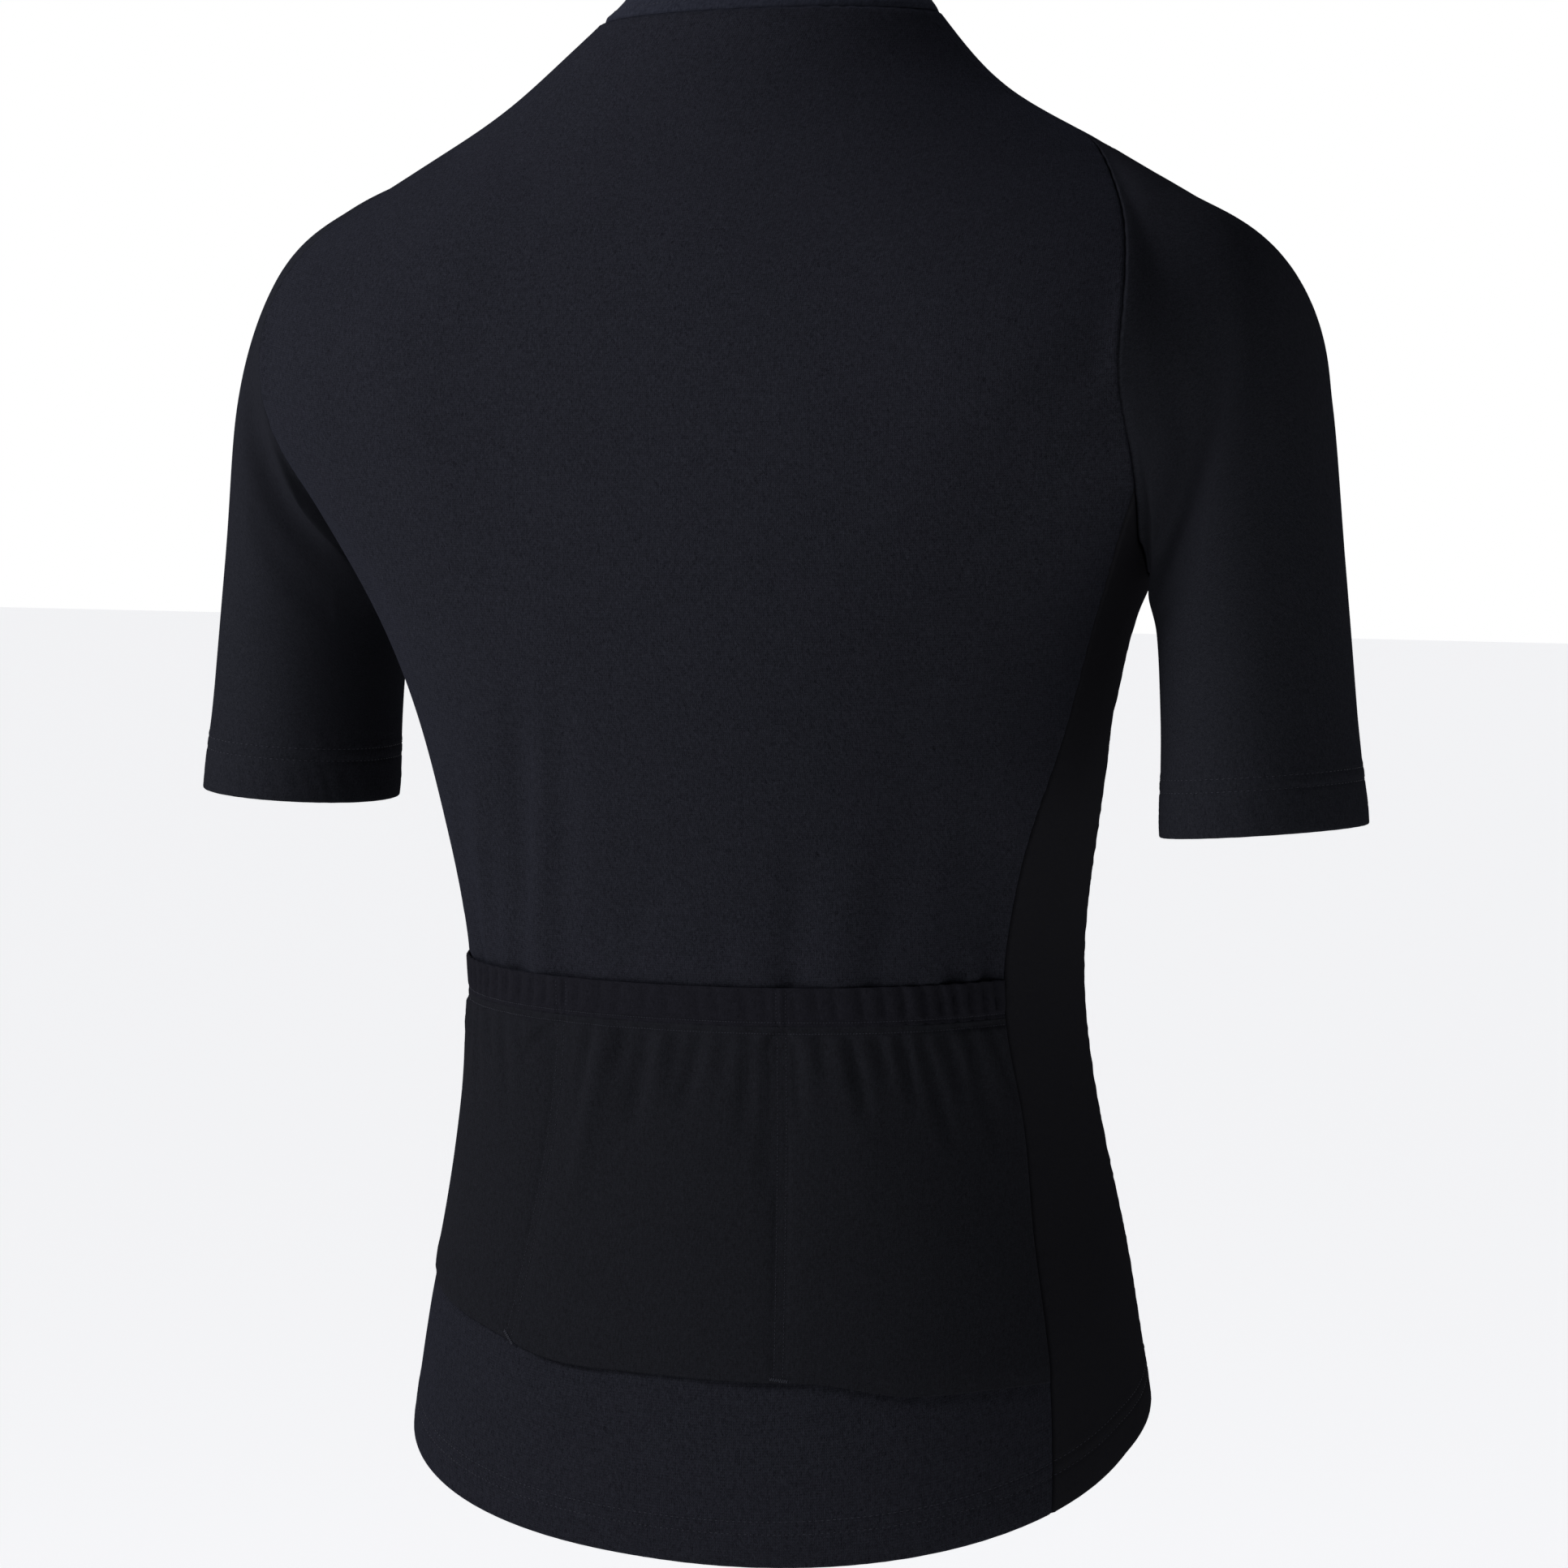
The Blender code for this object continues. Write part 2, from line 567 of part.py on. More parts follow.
def sleeve_points():
    """Rows of points from the armhole to the cuff, for the left side."""
    loop = sleeve_loop()
    turn, run, angle = loop.T
    seam = body_cloth(turn, run)
    along = unit(np.roll(seam, -1, 0) - np.roll(seam, 1, 0))
    outward = unit(np.cross(along, body_normal(turn, run)))
    ring_angle = angle - TWIST * np.exp(-((angle - TWIST_ANGLE) / TWIST_WIDTH) ** 2)
    rings = [seam] + [sleeve_ring(values, ring_angle) for values in SLEEVE_RINGS.values()]
    tuck = np.clip((TUCK_WIDTH - np.abs(angle - TUCK_ANGLE)) / TUCK_FADE, 0, 1)[:, None]
    clear_of_body = (rings[0] + rings[2]) / 2 + TUCK_RISE * body_normal(turn, run)
    rings[1] = rings[1] * (1 - tuck) + clear_of_body * tuck
    out_of_body = body_normal(turn, run)
    chord = rings[1] - seam
    level = unit(chord - (chord * out_of_body).sum(1, keepdims=True) * out_of_body)
    below = np.clip((BELOW_WIDTH - np.abs(angle - BELOW_ANGLE)) / BELOW_FADE, 0, 1)[:, None]
    below = below * below * (3 - 2 * below)
    way = unit(level * (1 - below) + outward * below)
    start = unit(way * (1 - below / 2) + unit(chord) * below / 2 + out_of_body * TUCK_LIFT * tuck)
    tangents = [start * np.linalg.norm(chord, axis=1)[:, None] * (1 - 0.4 * below)]
    for k in range(1, len(rings) - 1):
        tangents.append((rings[k + 1] - rings[k - 1]) / 2)
    tangents.append(rings[-1] - rings[-2])
    rows = [seam]
    for k, steps in enumerate(SLEEVE_STEPS):
        for step in range(1, steps + 1):
            t = step / steps
            rows.append((2 * t ** 3 - 3 * t ** 2 + 1) * rings[k] + (t ** 3 - 2 * t ** 2 + t)
                        * tangents[k] + (3 * t ** 2 - 2 * t ** 3) * rings[k + 1]
                        + (t ** 3 - t ** 2) * tangents[k + 1])
    bend = unit(np.cross(rows[1] - rows[0], along)) - body_normal(turn, run)
    draw_in = CLOTH * np.linalg.norm(bend, axis=1)[:, None] * (1 - tuck)
    rows[0] = seam + start * (SEAM_GAP / 2 + draw_in)
    points = np.array(rows)
    share = np.linspace(0, 1, len(rows))[:, None]
    height = fold_height(SLEEVE_FOLDS, angle[None, :], share, SLEEVE_ROUND, SLEEVE_LENGTH)
    down = np.gradient(points, axis=0)
    around = np.roll(points, -1, 1) - np.roll(points, 1, 1)
    return points + height[..., None] * unit(np.cross(down, around))


def make_sleeve(side, word, collection):
    points = sleeve_points()[::-1]
    if side < 0:
        points = points[:, ::-1]
    cloth_panel("sleeve_" + word, points * np.array([side, 1, 1]), CLOTH, "brushed_sleeve_knit",
                collection, closed=True)


# ---- collar --------------------------------------------------------------------------------------
def neck_turns():
    """Turns of the points round the neck seam, from the left front edge to the right one."""
    back = back_edge(NECK)
    front = turn_at_x(ZIP_OPENING / 2, NECK)
    half = list(np.linspace(0, back, BACK_COLUMNS // 2 + 1))
    half += list(np.linspace(back, front, FRONT_COLUMNS + 1))[1:]
    return np.array(list(reversed(half[1:])) + [-t for t in half])


collar_row = smooth_table(COLLAR_ROWS)


def collar_points(turns, heights):
    """Rows of points up the collar, which leans in and then stands."""
    seam = body_form(turns, NECK)
    centre = np.array([0, NECK_CENTRE_Y, 0])
    inward = unit((centre - seam) * np.array([1, 1, 0]))
    front_share = (1 - np.cos(np.radians(turns)))[:, None] / 2
    rows = []
    for height in heights:
        behind, before = collar_row(height + COLLAR_GAP)
        lean = behind + (before - behind) * front_share
        rows.append(seam + inward * lean + np.array([0, 0, COLLAR_GAP + height]))
    return np.array(rows)


def make_collar(collection):
    points = collar_points(neck_turns(), [row[0] for row in COLLAR_ROWS])
    points[:, 0, 0] = ZIP_OPENING / 2
    points[:, -1, 0] = -ZIP_OPENING / 2
    cloth_panel("collar", points, COLLAR_CLOTH, "heathered_collar_knit", collection)


# ---- pockets -------------------------------------------------------------------------------------
pocket_foot = smooth_table(POCKET_FOOT)


def divider_turn(word, drop):
    """Where a divider stands, drop being 0 at the mouth and 1 at the foot."""
    mouth, middle, foot = DIVIDERS[word]
    return (mouth * (1 - drop) * (1 - 2 * drop) + middle * 4 * drop * (1 - drop)
            + foot * drop * (2 * drop - 1))


def pocket_bounds(word, drop, run):
    edge = back_edge(run) - turn_for(SEAM_GAP, back_edge(run), run)
    if word == "left":
        return edge, divider_turn("left", drop)
    if word == "centre":
        return divider_turn("left", drop), divider_turn("right", drop)
    return divider_turn("right", drop), -edge


def pocket_columns(word):
    """Places across a pocket: on each fold and beside it, and filled in where they are sparse."""
    places = {0.0, 1.0}
    for pocket, place, _, width, _, _ in POCKET_FOLDS:
        if pocket == word:
            places |= {place - width, place, place + width}
    places = sorted(p for p in places if 0 <= p <= 1)
    kept = [places[0]]
    for place in places[1:-1]:
        if place - kept[-1] > COLUMN_APART and 1 - place > COLUMN_APART:
            kept.append(place)
    return kept + [1.0]


def fold_rise(word, place, depth):
    """How far the pocket cloth stands out at a place and a depth below the band."""
    rise = 0.0
    for pocket, start, drift, width, height, length in POCKET_FOLDS:
        if pocket == word:
            share = min(depth / length, 1)
            across = (place - start - drift * share) / width
            rise += height * (1 - share) ** FOLD_DECAY * float(bump(across))
    return rise


def pocket_panel_points():
    """Rows of points from the foot to the band, the columns running from left to right."""
    rows = []
    for share in POCKET_ROWS:
        turns, rises, runs = [], [], []
        for word in ("left", "centre", "right"):
            for place in pocket_columns(word)[:-1 if word != "right" else None]:
                drop = 1 - share
                run = BAND_FOOT
                for _ in range(3):
                    first, last = pocket_bounds(word, drop, run)
                    turn = first + (last - first) * place
                    foot = float(pocket_foot(turn)[0])
                    run = foot + (BAND_FOOT - SEAM_GAP - foot) * share
                turns.append(turn)
                runs.append(run)
                rises.append(fold_rise(word, place, BAND_FOOT - run))
        turns, runs = np.array(turns), np.array(runs)
        lift = POCKET_GAP + POCKET_CLOTH + np.array(rises)
        rows.append(body_cloth(turns, runs) + lift[:, None] * body_normal(turns, runs))
    return np.array(rows)


def gather_strength(turn):
    grown = np.clip((np.abs(turn - FAINT_MIDDLE) - FAINT_REACH) / GATHER_RISE, 0, 1)
    return FAINT_GATHER + (1 - FAINT_GATHER) * grown


def band_points():
    edge = back_edge(BAND_FOOT) - turn_for(SEAM_GAP, back_edge(BAND_FOOT), BAND_FOOT)
    share = np.linspace(0, 1, 4 * BAND_WAVES + 1)
    turns = edge - 2 * edge * share
    wave = (1 - np.cos(2 * math.pi * BAND_WAVES * share)) / 2
    rows = []
    for run, strength in zip((BAND_FOOT, (BAND_FOOT + BAND_TOP) / 2, BAND_TOP), BAND_FULLNESS):
        runs = np.full(len(turns), run)
        lift = POCKET_GAP + POCKET_CLOTH + BAND_SWELL * strength * wave * gather_strength(turns)
        rows.append(body_cloth(turns, runs) + lift[:, None] * body_normal(turns, runs))
    return np.array(rows)


def make_pockets(collection):
    cloth_panel("pocket_panel", pocket_panel_points(), POCKET_CLOTH, "smooth_pocket_knit",
                collection)
    cloth_panel("pocket_band", band_points(), POCKET_CLOTH, "gathered_elastic_knit", collection)


# ---- zip -----------------------------------------------------------------------------------------
def collar_front(height, reach=0.001):
    """The middle between the collar's front edges and the direction out of it.

    Both are those of the straight line from a reach below the height to a reach above it.
    """
    low, high = collar_points(np.array([180.0]), (height - reach, height + reach))[:, 0]
    return (low + high) / 2, unit(np.cross(high - low, np.array([-1.0, 0.0, 0.0])))


def zip_row(middle, normal, edge, edge_normal, cloth):
    """One closed profile of the tape with its chain in the middle, behind cloth of a thickness."""
    face = -(cloth + SEAM_GAP)
    back = face - ZIP_TAPE
    half_flat, half_chain = ZIP_FLAT / 2, ZIP_CHAIN_WIDTH / 2
    flat_back, flat_face, chain_foot, chain_top = (
        middle + np.array([x, 0, 0]) + normal * level
        for x, level in ((half_flat, back), (half_flat, face), (half_chain, face),
                         (half_chain, ZIP_CHAIN_RISE)))
    half = [flat_back, edge + edge_normal * back, edge + edge_normal * face, flat_face, chain_foot,
            chain_top]
    other = [point * np.array([-1, 1, 1]) for point in reversed(half)]
    return half + other


def zip_points():
    """Closed profiles up the front and the collar."""
    rows = []
    half_tape = ZIP_TAPE_WIDTH / 2
    for run in body_rows():
        turn = turn_at_x(half_tape, run)
        cloth = COLLAR_CLOTH if run == NECK else CLOTH
        rows.append(zip_row(body_form(180.0, run), body_normal(180.0, run), body_form(turn, run),
                            body_normal(turn, run), cloth))
    turn = turn_at_x(half_tape, NECK)
    sag = body_form(180.0, NECK) - body_form(turn, NECK)
    top = COLLAR_ROWS[-1][0]
    for height in (*ZIP_COLLAR_ROWS, SLIDER_HEIGHT - SLIDER_REACH, SLIDER_HEIGHT + SLIDER_REACH,
                   top):
        middle, normal = collar_front(height)
        edge = middle + np.array([half_tape, -sag[1], 0])
        rows.append(zip_row(middle, normal, edge, normal, COLLAR_CLOTH))
    return np.array(rows)


def loft_mesh(name, rows):
    """A solid through closed profiles that run the same way round, with flat ends."""
    count, size = rows.shape[:2]
    faces = [tuple(range(size)), tuple(reversed(range((count - 1) * size, count * size)))]
    for i in range(count - 1):
        for j in range(size):
            k = (j + 1) % size
            faces.append((i * size + k, i * size + j, (i + 1) * size + j, (i + 1) * size + k))
    mesh = bpy.data.meshes.new(name)
    mesh.from_pydata(rows.reshape(-1, 3).tolist(), [], faces)
    return mesh


def box_mesh(name, low, high):
    mesh = bpy.data.meshes.new(name)
    solid = bmesh.new()
    bmesh.ops.create_cube(solid, size=1)
    size = [b - a for a, b in zip(low, high)]
    middle = [(a + b) / 2 for a, b in zip(low, high)]
    bmesh.ops.scale(solid, vec=size, verts=solid.verts)
    bmesh.ops.translate(solid, vec=middle, verts=solid.verts)
    solid.to_mesh(mesh)
    solid.free()
    return mesh


def tool(name, low, high, matrix, cutters):
    """A box in the slider's frame that is cut from a solid or joined to it."""
    obj = bpy.data.objects.new(name, box_mesh(name, low, high))
    obj.matrix_world = matrix
    obj.hide_render = True
    obj.display_type = "WIRE"
    cutters.objects.link(obj)
    return obj


def boolean(obj, other, operation):
    step = obj.modifiers.new(other.name, "BOOLEAN")
    step.operation = operation
    step.solver = "EXACT"
    step.object = other


def slider_frame():
    """Where the slider stands: X across, Y up the zip and Z outwards."""
    point, normal = collar_front(SLIDER_HEIGHT, SLIDER_REACH)
    across = np.array([1.0, 0.0, 0.0])
    axes = (across, np.cross(normal, across), normal, point)
    return Matrix([[float(axis[i]) for axis in axes] for i in range(3)] + [[0, 0, 0, 1]])


def make_zip_strip(frame, collection, cutters):
    strip = add_object("zip", loft_mesh("zip", zip_points()), "zip_tape_polyester", collection)
    half = SLIDER_WEB / 2 + RUNNING_GAP
    slot = tool("zip_slot", (-half, WEB_FOOT - RUNNING_GAP, -CUT_REACH),
                (half, CUT_REACH, CUT_REACH), frame, cutters)
    boolean(strip, slot, "DIFFERENCE")


def make_slider(frame, collection, cutters):
    half_length, half_width = SLIDER_LENGTH / 2, SLIDER_WIDTH / 2
    bottom = ZIP_CHAIN_RISE + RUNNING_GAP
    top = bottom + SLIDER_PLATE
    tape_face = -(COLLAR_CLOTH + SEAM_GAP)
    rear = tape_face - ZIP_TAPE - RUNNING_GAP
    flange = ZIP_CHAIN_WIDTH / 2 + RUNNING_GAP
    half_span, half_bar = ARCH_SPAN / 2, ARCH_BAR / 2
    beam = top + ARCH_CLEAR
    slider = add_object("zip_slider", box_mesh("zip_slider", (-half_width, -half_length, bottom),
                                               (half_width, half_length, top)),
                        "black_lacquered_zinc", collection)
    slider.matrix_world = frame
    additions = (           # name, lower corner, upper corner
        ("rear_plate", (-half_width, -half_length, rear - SLIDER_PLATE),
         (half_width, half_length, rear)),
        ("web", (-SLIDER_WEB / 2, WEB_FOOT, rear - BITE),
         (SLIDER_WEB / 2, half_length - BITE, bottom + BITE)),
        ("left_flange", (flange, BITE - half_length, tape_face + RUNNING_GAP),
         (half_width - BITE / 2, half_length - BITE, bottom + BITE)),
        ("right_flange", (BITE / 2 - half_width, BITE - half_length, tape_face + RUNNING_GAP),
         (-flange, half_length - BITE, bottom + BITE)),
        ("lower_post", (-half_bar, -half_span - ARCH_BAR, top - BITE),
         (half_bar, -half_span, beam + BITE)),
        ("upper_post", (-half_bar, half_span, top - BITE),
         (half_bar, half_span + ARCH_BAR, beam + BITE)),
        ("beam", (-half_bar - BITE / 2, -half_span - ARCH_BAR - BITE / 2, beam),
         (half_bar + BITE / 2, half_span + ARCH_BAR + BITE / 2, beam + ARCH_BAR)),
    )
    for name, low, high in additions:
        boolean(slider, tool("slider_" + name, low, high, frame, cutters), "UNION")
    return frame @ Matrix.Translation((0, 0, top + ARCH_CLEAR / 2))


def make_pull(frame, collection, cutters):
    half_width, half_thick = PULL_WIDTH / 2, PULL_THICKNESS / 2
    half_window = ARCH_BAR / 2 + 2 * RUNNING_GAP
    mesh = box_mesh("zip_pull", (-half_width, -PULL_LENGTH, -half_thick),
                    (half_width, half_thick, half_thick))
    pull = add_object("zip_pull", mesh, "black_lacquered_zinc", collection)
    pull.matrix_world = frame
    edges = pull.modifiers.new("edges", "BEVEL")
    edges.width = PULL_EDGE
    edges.segments = 2
    window = tool("pull_window", (-half_window, -PULL_WINDOW, -CUT_REACH),
                  (half_window, -half_thick, CUT_REACH), frame, cutters)
    boolean(pull, window, "DIFFERENCE")


def main():
    for obj in list(bpy.data.objects):
        bpy.data.objects.remove(obj, do_unlink=True)
    collection = bpy.data.collections.new(NAME)
    cutters = bpy.data.collections.new("cutters")
    bpy.context.scene.collection.children.link(collection)
    bpy.context.scene.collection.children.link(cutters)
    make_back(collection)
    for side, word in ((1, "left"), (-1, "right")):
        make_front(side, word, collection)
        make_side(side, word, collection)
        make_sleeve(side, word, collection)
    make_collar(collection)
    make_pockets(collection)
    frame = slider_frame()
    make_zip_strip(frame, collection, cutters)
    axis_frame = make_slider(frame, collection, cutters)
    make_pull(axis_frame, collection, cutters)


main()
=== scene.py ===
import json
import math
from functools import partial

import bmesh
import bpy
import numpy as np
from mathutils import Matrix, Vector

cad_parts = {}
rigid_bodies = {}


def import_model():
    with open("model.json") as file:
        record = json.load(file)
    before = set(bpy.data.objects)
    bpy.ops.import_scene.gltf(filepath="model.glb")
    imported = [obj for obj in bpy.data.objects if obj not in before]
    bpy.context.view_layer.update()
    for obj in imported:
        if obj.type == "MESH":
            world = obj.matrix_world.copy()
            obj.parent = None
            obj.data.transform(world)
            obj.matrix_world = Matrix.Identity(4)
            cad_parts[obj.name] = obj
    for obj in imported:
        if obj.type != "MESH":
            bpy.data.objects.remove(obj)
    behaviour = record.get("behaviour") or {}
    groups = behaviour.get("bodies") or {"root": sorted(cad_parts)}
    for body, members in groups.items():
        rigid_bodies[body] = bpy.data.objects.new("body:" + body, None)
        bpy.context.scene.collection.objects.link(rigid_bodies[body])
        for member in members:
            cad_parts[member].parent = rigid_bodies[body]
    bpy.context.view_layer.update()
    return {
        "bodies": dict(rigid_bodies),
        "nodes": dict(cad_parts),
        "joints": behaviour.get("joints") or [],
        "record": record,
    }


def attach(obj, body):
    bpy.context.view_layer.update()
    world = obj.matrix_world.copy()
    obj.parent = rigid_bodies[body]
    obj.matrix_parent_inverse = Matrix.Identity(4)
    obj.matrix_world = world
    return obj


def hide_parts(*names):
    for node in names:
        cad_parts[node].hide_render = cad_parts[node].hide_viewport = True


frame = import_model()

# ---- sizes, in metres
CLOTH = 0.0009            # wall of the body, sleeve and side panels
POCKET_CLOTH = 0.0005
COLLAR_CLOTH = 0.0020
SOLID_CLOTH = 0.0015      # wall of the solid panels, behind which the zip's tape lies
TAPE_GAP = 0.0004         # between that wall and the tape
POCKET_LIFT = 0.0007      # outside of the pocket cloth, above the back's
BAND_LIFT = 0.0009
SEAM_ROLL = 0.0013        # how far a panel's edge turns in at a seam
SEAM_SOFT = 0.0008        # and over what width
SLEEVE_ROLL = 0.5         # the sleeve's share of that, at the armhole
EDGE_UNDER = 0.0006       # how far side panels and sleeves reach under the cloth beside them
EDGE_SUNK = 0.0003        # and how much deeper they lie there
EDGE_STEPS = (0.0, 0.0004, 0.0008, 0.0013, 0.0020, 0.0032, 0.0052)   # fine steps beside a seam
STEP = 0.0027             # size of the cloth's mesh elsewhere
HEM_ROWS = (0.0130, 0.0178)           # the two needle rows of the body's hem, from its edge
HEM_DROP = 0.0018         # how far the hem hangs below the solid's
HEM_TURN = 0.0190         # depth of cloth that is turned up behind it
HEM_FOLD, HEM_FOLD_ROWS = 0.0009, 7   # radius of the fold at its edge, and the rows round it
CUFF_ROWS = (0.0190, 0.0244)
CUFF_TURN = 0.0256
HEM_STITCH = 0.0026       # pitch of the hems' stitches
BAND_STITCH = 0.00135     # pitch of the stitches under the gathered band
DIVIDER_STITCH = 0.0016
THREAD = 0.00038

PUCKERS = {               # ripples beside a row of sewing: pitch, reach, height
    "hem_low": (0.0092, 0.0070, 0.00034), "hem_high": (0.0075, 0.0060, 0.00020),
    "back_left": (0.0105, 0.0060, 0.00030), "back_right": (0.0098, 0.0060, 0.00030),
    "front": (0.0100, 0.0060, 0.00030), "side": (0.0105, 0.0050, 0.00018),
    "armhole": (0.0105, 0.0060, 0.00026), "neck": (0.0110, 0.0060, 0.00025),
    "collar": (0.0095, 0.0060, 0.00022), "zip": (0.0120, 0.0045, 0.00028),
    "divider": (0.0085, 0.0050, 0.00030), "pocket_foot": (0.0120, 0.0065, 0.00026),
}
GROOVES = {               # lines pressed into the cloth: depth, width
    "hem_row": (0.00034, 0.0009), "collar_row": (0.00022, 0.0009), "zip_row": (0.0003, 0.0009),
    "zip_edge": (0.0006, 0.0008), "back_under_foot": (0.0014, 0.0011), "divider": (0.0009, 0.0030),
    "divider_row": (0.0008, 0.0010), "pocket_side": (0.0026, 0.0010),
    "pocket_foot": (0.0002, 0.0022), "pocket_hem": (-0.0003, 0.0050),
    "panel_band_row": (0.00030, 0.0008), "band_row": (0.00036, 0.0008),
    "mouth_row": (0.00055, 0.0008), "least_side": (0.0028, 0.0009),
}

BODY_COLUMNS = ("back_z", "side_z", "front_z", "half_width", "side_y", "back_y", "front_y", "full",
                "dip", "lean")
BODY_RINGS = (            # run up the back from the hem, then the columns above
    (0.000, -0.6640, -0.6170, -0.5780, 0.1710, -0.017, 0.105, -0.140, 2.15, 0.9, 0.045),
    (0.055, -0.6060, -0.5650, -0.5370, 0.1630, -0.018, 0.105, -0.139, 2.15, 1.0, 0.028),
    (0.120, -0.5340, -0.5190, -0.4960, 0.1515, -0.022, 0.100, -0.136, 2.15, 1.1, 0.015),
    (0.215, -0.4320, -0.4280, -0.4220, 0.1415, -0.012, 0.090, -0.126, 2.15, 1.3, 0.0),
    (0.295, -0.3580, -0.3560, -0.3540, 0.1510, -0.006, 0.102, -0.126, 2.15, 1.5, 0.0),
    (0.370, -0.2920, -0.2880, -0.2880, 0.1660, 0.006, 0.118, -0.128, 2.20, 1.5, 0.0),
    (0.415, -0.2480, -0.2440, -0.2460, 0.1860, 0.016, 0.125, -0.129, 2.30, 1.5, 0.0),
    (0.465, -0.2020, -0.1900, -0.2040, 0.2280, 0.006, 0.127, -0.126, 2.40, 1.5, 0.0),
    (0.515, -0.1580, -0.1360, -0.1660, 0.2470, 0.000, 0.124, -0.118, 2.40, 1.5, 0.0),
    (0.560, -0.1200, -0.1000, -0.1400, 0.2250, -0.005, 0.116, -0.106, 2.20, 1.5, 0.0),
    (0.600, -0.0920, -0.0820, -0.1200, 0.1950, -0.009, 0.105, -0.096, 2.10, 1.5, 0.0),
    (0.645, -0.0670, -0.0610, -0.1020, 0.1580, -0.015, 0.094, -0.087, 2.00, 1.5, 0.0),
    (0.685, -0.0420, -0.0400, -0.0890, 0.1190, -0.013, 0.081, -0.079, 2.00, 1.5, 0.0),
    (0.715, -0.0210, -0.0190, -0.0810, 0.0935, -0.016, 0.067, -0.073, 2.00, 1.5, 0.0),
    (0.735, -0.0040, -0.0045, -0.0750, 0.0790, -0.017, 0.053, -0.068, 2.00, 1.5, -0.025),
)
SIDE_BACK_SEAM = ((0.000, 69.0), (0.040, 72.0), (0.120, 72.8), (0.170, 73.8), (0.205, 71.5),
                  (0.255, 72.8), (0.297, 76.5), (0.336, 83.0), (0.366, 86.8), (0.392, 88.5),
                  (0.411, 87.0), (0.433, 79.9), (0.449, 74.5))        # run, turn
SIDE_FRONT_SEAM = ((0.000, 115.0), (0.120, 114.0), (0.215, 112.5), (0.297, 111.0), (0.381, 110.0),
                   (0.421, 109.5))
SHOULDER_SEAM = ((0.646, 88.0), (0.685, 86.5), (0.712, 84.5), (0.725, 82.5), (0.735, 77.5))
ARMHOLE = (               # angle round the sleeve, run, turn
    (0, 0.6460, 88.0), (30, 0.6150, 77.5), (60, 0.5620, 64.5), (90, 0.5160, 57.0),
    (120, 0.4800, 61.0), (150, 0.4400, 80.0), (171, 0.4140, 99.5), (181, 0.4130, 103.5),
    (193, 0.4210, 109.5), (215, 0.4440, 117.0), (240, 0.4800, 124.0), (270, 0.5200, 127.0),
    (300, 0.5680, 121.0), (330, 0.6180, 105.0), (360, 0.6460, 88.0))
UNDERARM_BACK, UNDERARM_FRONT, SHOULDER_END, NECK = 0.449, 0.421, 0.646, 0.735
SIDE_BEND = 0.392         # run above which the side panel's rows bend towards the armhole
SIDE_TOP = (74.5, 109.5)  # turns of the panel's two upper corners
UNDERARM_ROUND = (143.8, 193.0)       # angles round the sleeve where back and front begin
DEGREE = 0.0021           # cloth for one degree of turn, at the pockets
NECK_CENTRE_Y = -0.008

SLEEVE_RINGS = (          # outer x, outer z, inner x, inner z, back y, front y, bulge
    (0.1975, -0.0810, 0.1790, -0.2520, 0.0575, -0.0740, 0.0380),
    (0.2370, -0.1045, 0.1930, -0.2580, 0.0440, -0.0750, 0.0205),
    (0.2585, -0.1530, 0.1985, -0.2755, 0.0470, -0.0650, 0.0100),
    (0.2715, -0.2355, 0.2010, -0.3080, 0.0460, -0.0605, 0.0030),
    (0.2850, -0.3500, 0.2020, -0.3560, 0.0465, -0.0530, 0.0000),
)
TUCK_ANGLE, TUCK_WIDTH, TUCK_FADE, TUCK_RISE, TUCK_LIFT = 160.0, 58.0, 40.0, 0.003, 0.15
TWIST, TWIST_ANGLE, TWIST_WIDTH = 12.0, 120.0, 30.0      # turn of the sleeve's rings behind the arm
BELOW_ANGLE, BELOW_WIDTH, BELOW_FADE = 155.0, 80.0, 35.0 # where it leaves the seam square to it

COLLAR_ROWS = ((0.000, 0.0000, 0.0000), (0.009, 0.0120, 0.0040), (0.020, 0.0180, 0.0070),
               (0.034, 0.0200, 0.0108))      # height, lean behind, lean in front
COLLAR_GAP, COLLAR_HEIGHT, COLLAR_ROW = 0.0006, 0.034, 0.0040

BAND_TOP, BAND_FOOT = 0.2260, 0.2090
BAND_ROWS = (0.2060, 0.2105)          # the two needle rows under the gathers
POCKET_FOOT = ((-75.0, 0.0450), (-55.0, 0.0560), (-40.0, 0.0622), (-30.0, 0.0690), (-20.0, 0.0712),
               (0.0, 0.0725), (18.0, 0.0720), (26.0, 0.0745), (44.0, 0.0760), (75.0, 0.0780))
POCKET_DEPTH = 0.1395     # mean depth of the panel below the band's foot
DIVIDERS = {"left": (18.9, 20.4, 25.0), "right": (-22.6, -22.9, -22.0)}   # mouth, middle, foot
DIVIDER_STEPS = (0, 0.0010, 0.0019, 0.0027, 0.0035, 0.0046, 0.0062)
DIVIDER_ROW = 0.0019      # from a divider's middle to each of its two needle rows
POCKET_POINTS = (38, 32, 38)          # across each pocket, between the fine steps at its edges
GATHER_STRENGTH = ((-75, 2.7), (-52, 2.5), (-44, 1.2), (-34, 0.55), (-12, 0.45), (12, 0.55),
                   (24, 0.90), (45, 1.10), (75, 1.30))                # turn, share of full height
